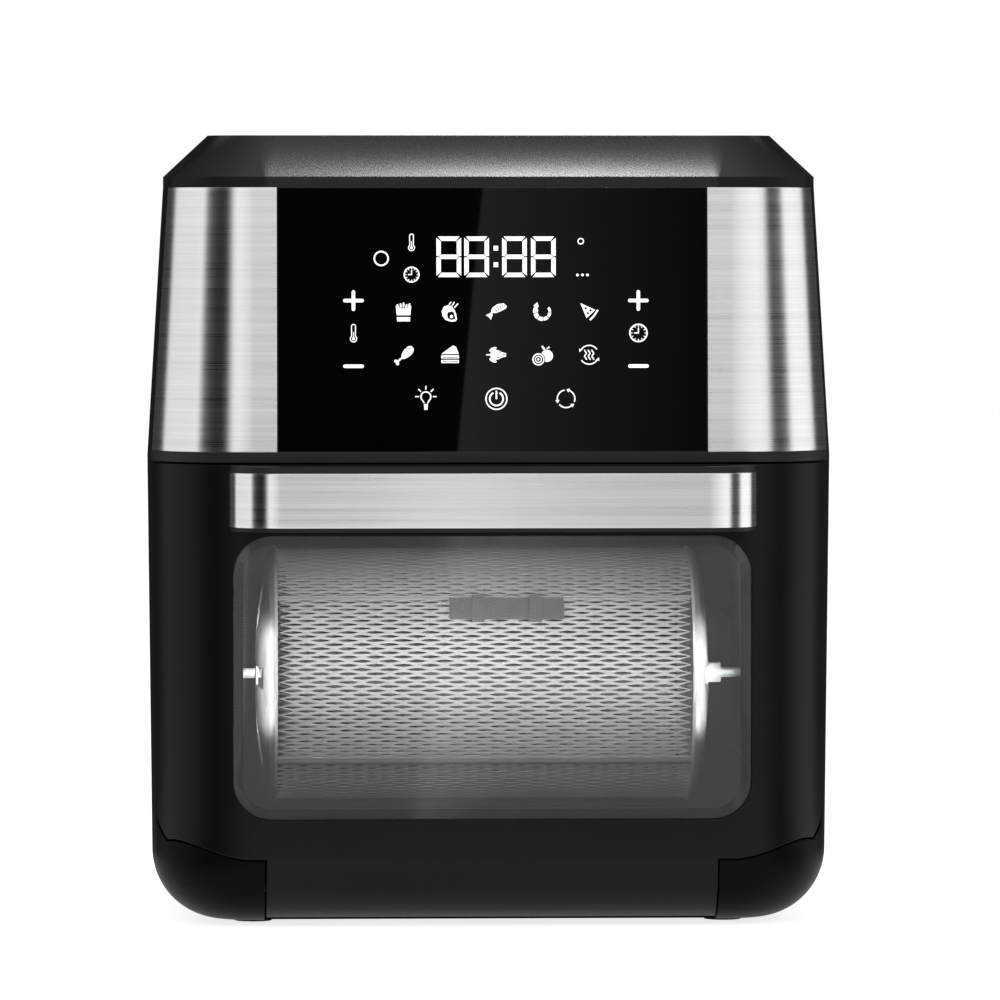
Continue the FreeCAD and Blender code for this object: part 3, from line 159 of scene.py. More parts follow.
def moulded(name, tone, roughness, grain, depth, specular, edge=0.0006):
    # moulded plastic: fine grain in the normal, broad drift of tone and gloss
    f = Finish(name)
    drift = f.noise(scale=22, detail=3)
    fine = f.noise(scale=grain, detail=2)
    normal = f.bump(fine, strength=0.5, depth=depth, normal=f.round(edge))
    return f.surface(baseColor=f.between(drift, grey(tone*0.75), grey(tone*1.3)),
                     roughness=roughness - 0.05 + 0.06*drift + 0.06*fine,
                     normal=normal, specularIORLevel=specular)


lidBorder = {
    "foot": 0.360,          # height where the slope starts
    "rise": 0.020,          # height that it takes
    "bow": 0.0034,          # depth of its hollow
    "corner": 0.107,        # half width of its glossy middle, at the foot
    "lean": 0.006,          # how far that edge leans in up the slope
    "soft": (0.002, 0.012),  # width of that edge at the foot, and what it gains
    "front": -0.114,        # last place of the dull corners towards the back; their dullness is painted shade in the gloss
    "fade": 0.004,
}


def sloped(name, tone, roughness, grain, depth, specular):
    # the lid: its slope is pressed a little hollow, height = k*s^2 up the slope, and its grain shows
    # in the gloss
    f = Finish(name)
    drift = f.noise(scale=22, detail=3)
    fine = f.noise(scale=grain, detail=1)
    x, y, z = (f.axis(letter) for letter in "XYZ")
    rise = ((z - lidBorder["foot"])/lidBorder["rise"]).clip()
    bow = f.bump(rise*rise*lidBorder["bow"], strength=1.0, depth=1.0, normal=f.round(0.0008))
    # its front corners get a duller, weaker gloss, painted shade that darkens their reflection, along an edge
    # that leans in and softens up the slope
    least, gain = lidBorder["soft"]
    past = x.calc("ABSOLUTE", x) + lidBorder["lean"]*rise - lidBorder["corner"]
    corner = (past/(least + gain*rise)).clip()*((lidBorder["front"] - y)/lidBorder["fade"]).clip()
    shade = f.between(drift, grey(tone*0.75), grey(tone*1.3))
    normal = f.bump(fine, strength=0.3, depth=depth, normal=bow)
    gloss = f.shader(baseColor=shade, roughness=roughness - 0.03 + 0.06*drift + 0.22*(fine - 0.5),
                     normal=normal, specularIORLevel=specular)
    paintedShadeGloss = f.shader(baseColor=shade, roughness=0.55 + 0.06*drift, normal=normal, specularIORLevel=0.2)
    return f.surface(f.node("ShaderNodeMixShader", {}, {0: corner, 1: gloss, 2: paintedShadeGloss}))


def brushed(name, tone, roughness, lines, edge=0.0005):
    # steel brushed along X: streaks that vary quickly in height and slowly along
    f = Finish(name)
    streak = f.noise(scale=1, detail=3, stretch=(5, 5, lines))
    broad = f.noise(scale=1, detail=2, stretch=(3, 3, lines/6))
    both = (1.3*streak + 1.0*broad - 0.65).clip()
    normal = f.bump(streak, strength=0.05, depth=0.00004, normal=f.round(edge))
    return f.surface(baseColor=f.between(both, grey(tone*0.84, warm=0.004), grey(tone*1.14, warm=0.004)),
                     metallic=1.0, roughness=roughness - 0.06 + 0.12*both, normal=normal,
                     anisotropic=0.9, anisotropicRotation=0.25)


def metalSheet(name, tone, roughness, warm=0.0, metallic=1.0, specular=0.5):
    # plain sheet metal: mottled tone, rolled texture
    f = Finish(name)
    mottle = f.noise(scale=60, detail=4)
    fine = f.noise(scale=900, detail=2)
    normal = f.bump(fine, strength=0.2, depth=0.00005, normal=f.round(0.0003))
    return f.surface(baseColor=f.between(mottle, grey(tone*0.82, warm), grey(tone*1.15, warm)),
                     metallic=metallic, roughness=roughness - 0.06 + 0.14*mottle,
                     normal=normal, specularIORLevel=specular)


def rubbery(name, tone):
    f = Finish(name)
    fine = f.noise(scale=1400, detail=3)
    normal = f.bump(fine, strength=0.15, depth=0.00003, normal=f.round(0.0004))
    return f.surface(baseColor=f.between(fine, grey(tone*0.9), grey(tone*1.1)), roughness=0.7 + 0.15*fine,
                     normal=normal, specularIORLevel=0.25)


def blackGlass(name):
    f = Finish(name)
    film = f.noise(scale=14, detail=4)
    return f.surface(baseColor=f.between(film, grey(0.0008), grey(0.0016)), roughness=0.008 + 0.014*film,
                     normal=f.round(0.0004), specularIORLevel=0.5)


windowPaintedLight = {"foot": 0.165, "rise": 0.025}  # heights of the painted light: a paler band that lifts the shade under the handle


def clearGlass(name, tone, alpha, shade=1.0, gloss=0.03):
    # tinted pane: part veil, part clear, with painted light along its head: a paler band that lifts the shade
    # under the handle
    f = Finish(name)
    film = f.noise(scale=9, detail=4)
    # painted light: the tone rises by shade towards the head, against the handle's shadow
    paintedLift = ((f.axis("Z") - windowPaintedLight["foot"])/windowPaintedLight["rise"]).clip()
    return f.surface(baseColor=f.between(0.2*film + 0.8*paintedLift, grey(tone*0.98), grey(tone*shade)),
                     roughness=gloss + 0.03*film, alpha=alpha, specularIORLevel=0.5)


def frosted(name):
    f = Finish(name)
    ribs = f.noise(scale=260, detail=2)
    return f.surface(baseColor=f.between(ribs, grey(0.14, warm=0.02), grey(0.22, warm=0.02)),
                     roughness=0.3 + 0.2*ribs, alpha=0.75, normal=f.bump(ribs, strength=0.3, depth=0.0003),
                     specularIORLevel=0.5)


def boardCoat(name):
    f = Finish(name)
    tracks = f.noise(scale=220, detail=1)
    lines = (tracks > 0.53) * (tracks < 0.58)
    return f.surface(baseColor=f.between(lines, (0.012, 0.06, 0.025, 1), (0.05, 0.16, 0.07, 1)),
                     roughness=0.35 + 0.2*tracks)


def ink(name, tone, glow):
    f = Finish(name)
    fine = f.noise(scale=1500, detail=1)
    return f.surface(baseColor=f.between(fine, grey(tone*0.94), grey(tone)), roughness=0.5 + 0.1*fine,
                     emissionColor=grey(1.0), emissionStrength=glow, specularIORLevel=0.2)


finishes = {
    "housing": moulded("housingGrain", 0.004, roughness=0.42, grain=1500, depth=0.00018, specular=0.16),
    "door_shell": moulded("doorSatin", 0.0035, roughness=0.34, grain=2600, depth=0.00004, specular=0.15),
    "foot_rubber": rubbery("footRubber", 0.02),
    "front_steel": brushed("frontSteel", 0.87, roughness=0.3, lines=2200),
    "panel_glass": blackGlass("panelGlass"),
    # the window's head is painted up to 2.1 times paler: painted light
    "window": clearGlass("windowTint", 0.185, alpha=0.24, shade=2.1),
    "lamp_glass": frosted("lampGlass"),
    "seal": rubbery("sealRubber", 0.005),
    "oven_sheet": metalSheet("ovenCoat", 0.007, roughness=0.5, metallic=0.0, specular=0.08),
    "plated_steel": metalSheet("platedSteel", 0.55, roughness=0.36),
    "heater_tube": metalSheet("heaterSheath", 0.10, roughness=0.5, warm=0.08, metallic=0.6),
    "motor_case": metalSheet("motorCase", 0.32, roughness=0.4),
    "circuit_board": boardCoat("boardCoat"),
    "display": ink("displayFace", 0.5, glow=0.0),
    "magnet": metalSheet("magnetIron", 0.18, roughness=0.45),
    "inner_plastic": moulded("innerPlastic", 0.008, roughness=0.5, grain=1800, depth=0.0001, specular=0.12),
    "gland": rubbery("glandRubber", 0.02),
    "drum_steel": metalSheet("drumSteel", 0.8, roughness=0.42, metallic=0.2),
}
clearInner = clearGlass("innerPane", 0.05, alpha=0.06)
lidGrain = sloped("lidGrain", 0.005, roughness=0.28, grain=1500, depth=0.00004, specular=0.36)
latchGrey = metalSheet("latchGrey", 0.2, roughness=0.45, metallic=0.3)
darkPin = metalSheet("darkPin", 0.02, roughness=0.5, metallic=0.3)
pinSteel = metalSheet("pinSteel", 0.5, roughness=0.42, metallic=0.2)
baseSatin = moulded("baseSatin", 0.0025, roughness=0.4, grain=2600, depth=0.00004, specular=0.05)
bandSatin = moulded("bandSatin", 0.02, roughness=0.4, grain=2600, depth=0.00004, specular=0.16)
# white print that also glows: painted light that keeps the marks bright
glowingWhiteInk = ink("glowingWhiteInk", 0.85, glow=0.7)

ownFinish = {  # nodes that differ from the rest of their slot
    "inner_glass": clearInner, "lid": lidGrain, "base": baseSatin, "hinge_pins": darkPin,
    "front_frame": bandSatin, "handle_grip": bandSatin,
    "drum_latch": latchGrey, "latch_guides": latchGrey, "drum_hinge": latchGrey,
    "drum_idle_pin": pinSteel, "drum_drive_pin": pinSteel,
}
for name, part in nodes.items():
    part.data.materials.clear()
    part.data.materials.append(ownFinish.get(name, finishes[slotOf[name]]))
print("finishes:", len(finishes), "slots")


# Meshes from arrays

weldReach = 2e-6  # metres


def gridFaces(rows, columns, closed=False):
    # quads between the points of a rows x columns grid, its columns joined round where closed
    r = np.arange(rows - 1)
    c = np.arange(columns - (not closed))
    a, b = (side.ravel() for side in np.meshgrid(r, c, indexing="ij"))
    along = (b + 1) % columns
    up = (a + 1)*columns
    return np.stack([a*columns + b, a*columns + along, up + along, up + b], 1)


def merged(shapes):
    # several (points, faces) pairs as one
    starts = np.cumsum([0] + [len(points) for points, faces in shapes])
    faces = [[corner + start for corner in face]
             for (points, rows), start in zip(shapes, starts) for face in rows]
    return np.concatenate([points for points, rows in shapes]), faces


def makePiece(name, points, faces, body, material, replaces=(), weld=False, outward=False):
    mesh = bpy.data.meshes.new(name)
    mesh.from_pydata(np.asarray(points).reshape(-1, 3).tolist(), [], [list(face) for face in faces])
    if weld or outward:
        work = bmesh.new()
        work.from_mesh(mesh)
        if weld:
            bmesh.ops.remove_doubles(work, verts=work.verts, dist=weldReach)
        if outward:
            bmesh.ops.recalc_face_normals(work, faces=work.faces)
        work.to_mesh(mesh)
        work.free()
    mesh.materials.append(material)
    piece = bpy.data.objects.new(name, mesh)
    bpy.context.scene.collection.objects.link(piece)
    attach(piece, body)
    if replaces:
        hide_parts(*replaces)
    return piece


def thicken(piece, depth, offset=-1.0):
    wall = piece.modifiers.new("wall", "SOLIDIFY")
    wall.thickness = depth
    wall.offset = offset


# Camera, at the photograph's angle
view = {
    "spot": (-0.1551, -4.0, 0.3477),
    "turn": 0.0411,         # radians to the right
    "dip": 0.03678,         # radians down
    "lens": 290.96,         # millimetres, as is the sensor
    "sensor": 36,
    "near": 0.05,
    "far": 60,
}
cameraData = bpy.data.cameras.new("camera")
cameraData.sensor_width = view["sensor"]
cameraData.lens = view["lens"]
cameraData.clip_start = view["near"]
cameraData.clip_end = view["far"]
camera = bpy.data.objects.new("camera", cameraData)
camera.location = view["spot"]
level = math.cos(view["dip"])
aim = Vector((math.sin(view["turn"])*level, math.cos(view["turn"])*level, -math.sin(view["dip"])))
camera.rotation_euler = aim.to_track_quat("-Z", "Y").to_euler()
bpy.context.scene.collection.objects.link(camera)
bpy.context.scene.camera = camera
print("camera placed")


# Drum wall: an open lattice of lens-shaped slots bent round the drum's axis
drumWall = {
    "radius": 0.062,        # outer face of the sheet
    "sheet": 0.0005,
    "halfLength": 0.1022,
    "doorLength": 0.1008,   # half, of the door
    "columns": 15,          # slots along the drum
    "rowPitch": 0.00205,    # between staggered rows, round the wall
    "slotWide": 0.80,       # share of its cell that a slot takes
    "slotHigh": 0.40,
    "round": 0.92,          # size of the circle that is half of a slot's outline
    "least": 0.2,           # of a pitch, nearest that a slot's centre comes to the ends
    "sides": 8,             # points of a slot's outline
    "strip": 0.0008,        # thickness of the plain strips
    "doorHalf": 40.0,       # degrees, about the front
    "seam": 0.5,            # degrees between the door and the wall
    "edge": 0.8,            # degrees, plain strip along the door's seam
}
drumAxis = np.array([0.0, 0.0025, 0.1146])


def bentPoints(x, angle, radius):
    # x along the axis; angle from the front, rising; radius from the axis
    y = drumAxis[1] - radius*np.cos(angle)
    z = drumAxis[2] + radius*np.sin(angle)
    return np.stack(np.broadcast_arrays(drumAxis[0] + x, y, z), -1)


def latticeSheet(low, high, halfLength):
    # rhombic cells in staggered rows: outline |x|/a + |y|/b = 1, slot the same outline shrunk and
    # half rounded
    rows = int(round(math.radians(high - low)*drumWall["radius"]/drumWall["rowPitch"])) - 1
    step = math.radians(high - low)/(rows + 1)
    pitch = 2*halfLength/drumWall["columns"]
    sides = drumWall["sides"]
    turn = np.arange(sides)*2*math.pi/sides
    corner = (turn/(math.pi/2)) % 1.0
    quarter = np.floor(turn/(math.pi/2)).astype(int) % 4
    cornerX, cornerY = np.array([1, 0, -1, 0]), np.array([0, 1, 0, -1])
    outX = cornerX[quarter]*(1 - corner) + cornerX[(quarter + 1) % 4]*corner
    outY = cornerY[quarter]*(1 - corner) + cornerY[(quarter + 1) % 4]*corner
    inX = drumWall["slotWide"]*(0.5*outX + 0.5*np.cos(turn)*drumWall["round"])
    inY = drumWall["slotHigh"]*(0.5*outY + 0.5*np.sin(turn)*drumWall["round"])
    j, i = np.meshgrid(np.arange(rows), np.arange(drumWall["columns"] + 1), indexing="ij")
    centreX = -halfLength + pitch*(i + 0.5*(j % 2))
    keep = (np.abs(centreX) <= halfLength - pitch*drumWall["least"]).ravel()
    centreX = centreX.ravel()[keep]
    centreA = (math.radians(low) + step*(j + 1)).ravel()[keep]
    ringX = np.stack([outX, inX])*pitch/2
    ringA = np.stack([outY, inY])*step
    x = np.clip(centreX[:, None, None] + ringX, -halfLength, halfLength)
    angle = centreA[:, None, None] + ringA
    points = bentPoints(x, angle, drumWall["radius"]).reshape(-1, 3)
    cell = gridFaces(2, sides, closed=True)
    faces = (np.arange(len(centreX))[:, None, None]*2*sides + cell).reshape(-1, 4)
    return points, faces


def plainStrip(low, high, halfLength, count=5):
    # closed strip: x, angle and both faces of the sheet as a swept rectangle
    angle = np.radians(np.linspace(low, high, count))
    radius, around = drumWall["radius"], 2*count
    profileA = np.concatenate([angle, angle[::-1]])
    profileR = np.repeat([radius, radius - drumWall["strip"]], count)
    x = np.array([-halfLength, halfLength])
    points = bentPoints(x[:, None], profileA[None, :], profileR[None, :]).reshape(-1, 3)
    faces = gridFaces(2, around, closed=True).tolist()
    return points, faces + [list(range(around))[::-1], list(range(around, 2*around))]


def drumPieces():
    half, seam, edge = drumWall["doorHalf"], drumWall["seam"], drumWall["edge"]
    for name, node, low, high, length in (
            ("drumWall", "drum_mesh", half, 360 - half, drumWall["halfLength"]),
            ("drumDoorWall", "drum_door", -half + seam, half - seam, drumWall["doorLength"])):
        points, faces = latticeSheet(low + 0.5*edge, high - 0.5*edge, length)
        wall = makePiece(name, points, faces, "drum", finishes["drum_steel"], (node,),
                         weld=True, outward=True)
        thicken(wall, drumWall["sheet"])
        points, faces = merged([plainStrip(low, low + edge, length), plainStrip(high - edge, high, length)])
        makePiece(name + "Edges", points, faces, "drum", finishes["drum_steel"], outward=True)


drumPieces()
print("drum wall made")


# Printed marks on the touch glass, which also glow as painted light, drawn flat in millimetres about the
# panel's centre
panel = {
    "low": 0.2262,          # heights of the belt and the shoulder
    "high": 0.355,
    "front": -0.146,        # face at the belt
    "lean": 0.00775,        # how far it leans back by the shoulder
    "lift": 0.00007,        # of the ink over the glass
    "inkDepth": 0.00003,
    "centre": 0.29185,      # height of the drawing's zero
    "shift": 0.45,          # millimetres to the right
}
light, dark, over = [], [], []  # white shapes, gaps in them, white shapes in the gaps


def arc(x, y, radius, start, stop, count=24):
    turn = np.radians(np.linspace(start, stop, count))
    return np.stack([x + radius*np.cos(turn), y + radius*np.sin(turn)], 1)


def stroke(path, width, into=light):
    # ribbon: the path moved half a width to each side along its normal
    path = np.asarray(path, float)
    run = np.gradient(path, axis=0)
    run /= np.linalg.norm(run, axis=1, keepdims=True)
    side = np.stack([-run[:, 1], run[:, 0]], 1)*width/2
    into.append((np.concatenate([path - side, path + side]), gridFaces(2, len(path)).tolist()))


def ring(x, y, radius, width, into=light, count=40):
    # annulus between two radii
    turn = np.arange(count)*2*math.pi/count
    unit = np.stack([np.cos(turn), np.sin(turn)], 1)
    points = np.concatenate([unit*(radius + width/2), unit*(radius - width/2)]) + (x, y)
    into.append((points, gridFaces(2, count, closed=True).tolist()))


def fill(outline, into=light):
    # fan from the outline's middle
    outline = np.asarray(outline, float)
    count = len(outline)
    x, y = outline.T
    turn = np.sum(x*np.roll(y, -1) - np.roll(x, -1)*y)
    outline = outline if turn > 0 else outline[::-1]
    points = np.concatenate([outline, outline.mean(0)[None]])
    faces = [[i, (i + 1) % count, count] for i in range(count)]
    into.append((points, faces))


def bar(x0, y0, x1, y1, width, into=light):
    # straight stroke with round ends
    run = math.degrees(math.atan2(y1 - y0, x1 - x0))
    fill(np.concatenate([arc(x1, y1, width/2, run - 90, run + 90, 8),
                         arc(x0, y0, width/2, run + 90, run + 270, 8)]), into)


def spot(x, y, radius, into=light):
    fill(arc(x, y, radius, 0, 345, 24), into)


def moved(points, x, y):
    return np.asarray(points, float) + (x, y)


def turned(points, angle, x, y):
    c, s = math.cos(math.radians(angle)), math.sin(math.radians(angle))
    return moved(np.asarray(points, float) @ np.array([[c, s], [-s, c]]), x, y)


def digitEight(x, y, wide, high, t):
    # seven mitred segments, t thick
    w, h, g = wide/2, high/2, 0.28
    for s in (-1, 1):
        fill([(x - w + g + 0.5, y + s*h), (x + w - g - 0.5, y + s*h),
              (x + w - g - t, y + s*(h - t)), (x - w + g + t, y + s*(h - t))])
        for v in (-1, 1):
            fill([(x + s*w, y + v*(h - g - 0.4)), (x + s*w, y + v*(g + 0.1)),
                  (x + s*(w - t*0.5), y + v*g*0.8), (x + s*(w - t), y + v*(t*0.5 + g)),
                  (x + s*(w - t), y + v*(h - t - g))])
    fill([(x - w + t*0.6, y), (x - w + t + 0.15, y + t*0.5), (x + w - t - 0.15, y + t*0.5),
          (x + w - t*0.6, y), (x + w - t - 0.15, y - t*0.5), (x - w + t + 0.15, y - t*0.5)])


def clock(x, y, radius, width):
    ring(x, y, radius, width)
    for hour in range(12):
        c, s = radius*math.cos(math.radians(hour*30)), radius*math.sin(math.radians(hour*30))
        bar(x + 0.74*c, y + 0.74*s, x + 0.84*c, y + 0.84*s, width*0.55)
    bar(x, y, x, y + 0.55*radius, width*0.8)
    bar(x, y, x - 0.45*radius, y, width*0.8)


def thermometer(x, y, high):
    bulb = y - high*0.32
    stroke(np.concatenate([arc(x, bulb, high*0.18, -90, 55, 14),
                           arc(x, y + high*0.38, 0.115*high, 0, 180, 10),
                           arc(x, bulb, high*0.18, 125, 270, 14)]), 0.45)
    spot(x, bulb, high*0.09)
    bar(x, y - high*0.3, x, y + high*0.05, 0.35)


def plus(x, y, half, width):
    bar(x - half, y, x + half, y, width)
    bar(x, y - half, x, y + half, width)


def cupMark(x, y):
    for i, lean in enumerate((-0.5, -0.2, 0.1, 0.3, 0.55)):
        bar(x - 2.5 + 1.25*i, y + 2.4, x - 2.7 + 1.35*i + lean*0.4, y + 3.7 + 0.4*((i*7) % 3 - 1), 0.8)
    fill(moved([(-3.7, 2.9), (-2.6, 2.1), (0, 1.6), (2.6, 2.1), (3.7, 2.9), (3.25, -1.6), (-3.25, -1.6)], x, y))
    fill([(x - 3.2, y - 2.5), (x + 3.2, y - 2.5), (x + 3.05, y - 4.5), (x - 3.05, y - 4.5)])


def steak(x, y):
    fill(moved([(-0.9, 3.2), (-2.9, 2.5), (-4.0, 0.2), (-3.5, -2.1), (-2.2, -3.8), (0.5, -4.7),
                (2.7, -4.5), (3.4, -3.4), (2.9, -0.9), (2.1, 1.1), (0.7, 2.7)], x, y))
    fill(moved([(-0.8, -0.1), (1.6, 0.2), (2.6, -3.3), (0.6, -3.9), (-1.1, -2.9), (-1.4, -1.2)], x, y), dark)
    fill(moved(arc(0.8, -2.0, 0.8, 0, 345, 14)*(0.9, 1.1), x, y), over)
    for x0, y0, x1, y1 in ((-0.3, 3.6, 0.4, 4.6), (1.1, 3.1, 2.0, 4.5), (2.3, 2.2, 3.7, 3.8)):
        bar(x + x0, y + y0, x + x1, y + y1, 0.6)


def fish(x, y):
    fill(moved([(5.1, 2.7), (3.5, 4.1), (0.6, 3.7), (-1.6, 2.1), (-2.5, 0.6), (-1.5, -0.6),
                (0.2, -0.5), (3.0, 0.7), (4.7, 1.7)], x, y))
    fill(moved([(-2.0, 0.4), (-3.1, -0.7), (-5.0, -1.6), (-3.6, -2.5), (-2.6, -3.8), (-1.7, -1.5)], x, y))
    for k in range(4):
        stroke(turned(arc(-2.6 + 1.2*k, 0, 1.7, -42, 42, 8), 33, x + 0.7, y + 1.4), 0.3, dark)
    spot(x + 3.9, y + 3.0, 0.3, dark)


def shrimp(x, y):
    for k in range(6):
        a = 150 + 42*k
        fill(np.concatenate([arc(x, y, 4.6 - 0.12*k, a, a + 37, 7), arc(x, y, 2.3 + 0.1*k, a + 35, a + 2, 7)]))
    fill([(x - 4.4, y + 2.9), (x - 2.6, y + 4.6), (x - 1.9, y + 2.6), (x - 2.6, y + 1.6)])


def pizza(x, y):
    fill([(x - 4.2, y + 4.2), (x + 3.0, y + 0.9), (x - 1.2, y - 3.0)])
    stroke([(x + 4.2, y + 0.9), (x + 2.6, y - 1.6), (x + 0.4, y - 3.9)], 0.9)
    for dx, dy, r in ((-1.6, 1.7, 0.55), (0.7, 0.7, 0.6), (-0.6, -0.7, 0.55)):
        spot(x + dx, y + dy, r, dark)


def drumstick(x, y):
    t = np.linspace(0, 2*math.pi, 26)[:-1]
    meat = np.stack([3.8*np.cos(t), (2.0 + 0.5*np.cos(t))*np.sin(t)], 1)
    fill(turned(meat, 47, x + 1.7, y + 1.0))
    bar(x - 1.4, y - 1.9, x - 3.0, y - 3.4, 0.9)
    spot(x - 3.7, y - 3.0, 0.75)
    spot(x - 2.9, y - 4.2, 0.75)
    stroke(turned(arc(0, 0, 2.3, 40, 105, 10), 20, x + 1.8, y + 1.0), 0.35, dark)


def cakeSlice(x, y):
    fill([(x - 4.2, y + 0.4), (x + 1.4, y + 4.5), (x + 2.8, y + 3.9), (x + 4.2, y + 0.4)])
    for low in (-1.7, -3.9):
        for half, lift, high, into in ((4.2, 0.0, 1.5, light), (3.6, 0.4, 0.45, dark)):
            foot = y + low + lift
            fill([(x - half, foot), (x + half, foot), (x + half, foot + high), (x - half, foot + high)], into)


def roastBird(x, y):
    t = np.linspace(0, 2*math.pi, 26)[:-1]
    fill(np.stack([x + 0.2 + 3.1*np.cos(t), y + 2.3*np.sin(t)*(1 - 0.18*np.cos(t))], 1))
    for s in (-1, 1):
        fill(turned(np.stack([1.9*np.cos(t), 0.85*np.sin(t)], 1), 28*s, x - 1.6, y + s*2.6))
        bar(x + 2.6, y + s*0.9, x + 4.4, y + s*0.5, 0.7)
        stroke(arc(x + 1.3, y, 1.4, 90*s - 60, 90*s + 20, 8), 0.35, dark)
    bar(x - 3.2, y, x - 4.6, y, 0.6)


def fruit(x, y):
    spot(x + 2.0, y - 0.5, 2.9)
    spot(x - 2.1, y - 2.2, 3.35, dark)
    ring(x - 2.1, y - 2.2, 2.6, 0.6, over)
    ring(x - 2.1, y - 2.2, 1.45, 0.5, over)
    spot(x - 2.1, y - 2.2, 0.5, over)
    bar(x + 0.9, y + 2.5, x - 0.2, y + 3.9, 0.9)
    bar(x + 2.2, y + 3.0, x + 3.0, y + 3.6, 0.7)


def heatWaves(x, y):
    rise = np.linspace(-2.4, 2.4, 15)
    for k in (-1, 0, 1):
        stroke(np.stack([x + 1.75*k + 0.42*np.sin(rise*2.2), y + rise], 1), 0.6)
    for flip in (1, -1):
        stroke(moved(arc(0, 0, 4.5, 35, 150, 18)*flip, x, y), 0.55)
        fill(moved(np.array([(-4.9, 2.9), (-3.3, 2.5), (-4.6, 1.2)])*flip, x, y))


def lampMark(x, y):
    stroke(np.concatenate([[(x - 0.85, y - 2.6)], arc(x, y + 0.4, 2.35, 232, -52, 24),
                           [(x + 0.85, y - 2.6)]]), 0.6)
    fill([(x - 0.95, y - 3.0), (x + 0.95, y - 3.0), (x + 0.75, y - 5.8), (x - 0.75, y - 5.8)])
    for a in (0, 45, 90, 135, 180):
        c, s = math.cos(math.radians(a)), math.sin(math.radians(a))
        bar(x + 3.5*c, y + 0.5 + 3.5*s, x + 4.9*c, y + 0.5 + 4.9*s, 0.55)


def powerMark(x, y):
    ring(x, y, 5.0, 0.65)
    stroke(arc(x, y, 3.2, 118, 422, 32), 0.8)
    bar(x, y + 0.2, x, y + 3.6, 0.8)


def turnMark(x, y):
    for k in range(3):
        stroke(arc(x, y, 4.2, 100 + 120*k, 190 + 120*k, 16), 0.6)
        fill(turned([(3.2, 0.2), (5.2, 0.2), (4.2, 1.7)], 200 + 120*k - 14, x, y))


def drawPanel():  # places in millimetres
    ring(-53.6, 29.2, 3.3, 0.75)
    thermometer(-39.1, 36.9, 8.0)
    clock(-39.1, 21.5, 3.5, 0.65)
    for x in (-21.3, -8.0, 10.1, 23.9):
        digitEight(x, 30.0, 11.8, 19.4, 2.1)
    for y in (34.1, 26.2):
        fill([(0.1, y - 1.15), (2.3, y - 1.15), (2.3, y + 1.15), (0.1, y + 1.15)])
    ring(41.8, 37.4, 1.3, 0.55)
    for k in range(3):
        spot(40.2 + 2.4*k, 21.3, 0.65)
    for x in (-66.9, 69.3):
        plus(x, 9.1, 4.1, 1.7)
        bar(x - 4.1, -22.2, x + 4.1, -22.2, 1.7)
    thermometer(-66.9, -6.4, 8.4)
    clock(69.3, -6.4, 4.1, 0.7)
    for x, upper, lower in ((-43.0, cupMark, drumstick), (-20.8, steak, cakeSlice), (1.3, fish, roastBird),
                            (23.5, shrimp, fruit), (45.7, pizza, heatWaves)):
        upper(x, 3.7)
        lower(x, -16.8)
    lampMark(-32.4, -37.2)
    powerMark(1.3, -37.8)
    turnMark(34.6, -37.8)
    for name, shapes, layer, material in (("panelMarks", light, 1.0, glowingWhiteInk),
                                          ("panelMarkGaps", dark, 1.9, finishes["panel_glass"]),
                                          ("panelMarkTops", over, 2.8, glowingWhiteInk)):
        flat, faces = merged(shapes)
        flat = (flat + (panel["shift"], 0))*0.001
        z = panel["centre"] + flat[:, 1]
        share = (z - panel["low"])/(panel["high"] - panel["low"])
        y = panel["front"] + panel["lean"]*share - layer*panel["lift"]
        piece = makePiece(name, np.stack([flat[:, 0], y, z], 1), faces, "oven", material)
        thicken(piece, panel["inkDepth"], 0.0)


drawPanel()
print("panel marks:", len(light), "shapes")


# Stage: pale floor, white surround, soft lamps, and reflectors that only gloss sees
def addStage(name, points, faces, material, glossOnly=False):
    mesh = bpy.data.meshes.new(name)
    mesh.from_pydata(np.asarray(points, float).reshape(-1, 3).tolist(), [], [list(face) for face in faces])
    mesh.materials.append(material)
    item = bpy.data.objects.new(name, mesh)
    bpy.context.scene.collection.objects.link(item)
    if glossOnly:
        item.visible_camera = item.visible_diffuse = item.visible_shadow = item.visible_transmission = False


floorSheet = {"half": 9.0, "tone": 0.6, "lift": 0.8}
surround = {"light": 0.62, "seen": 0.38}  # for all rays, and added where it is seen


def floorFinish():
    f = Finish("floorWhite")
    base = f.node("ShaderNodeBsdfDiffuse", {}, {"Color": grey(floorSheet["tone"])})
    return f.surface(f.node("ShaderNodeAddShader", {}, {0: base, 1: f.glow(floorSheet["lift"]*f.seen())}))


def plainFinish(name, tone):
    f = Finish(name)
    return f.surface(f.glow(tone))


panelGleam = {"edge": 0.055, "stop": 0.22, "bright": 0.36, "faint": 0.05, "power": 0.7}


def fadeFinish(name):
    # glow that falls off along X
    f = Finish(name)
    share = ((f.axis("X") - panelGleam["edge"])/(panelGleam["stop"] - panelGleam["edge"])).clip()
    gain = panelGleam["faint"] - panelGleam["bright"]
    return f.surface(f.glow(panelGleam["bright"] + gain*share**panelGleam["power"]))


windowGleam = {
    "start": -0.0493,       # the edge at y = 0
    "slant": 0.0428,
    "reach": 0.075,         # per metre of -y
    "faint": 0.03,
    "bright": 1.8,          # at the edge
    "gain": 0.54,           # per metre of -y
    "power": 1.6,
}


def edgeFinish(name):
    # gleam on the floor: brightest along a slanting edge x = a - k*y, fading to its right over a reach
    # that grows with -y
    f = Finish(name)
    x, y = f.axis("X"), f.axis("Y")
    away = (x - (windowGleam["start"] - windowGleam["slant"]*y))/(windowGleam["reach"]*(0.0 - y))
    fade = (1.0 - away.clip())**windowGleam["power"]*(away > 0.0)
    return f.surface(f.glow(windowGleam["faint"] + fade*(windowGleam["bright"] - windowGleam["gain"]*y)))


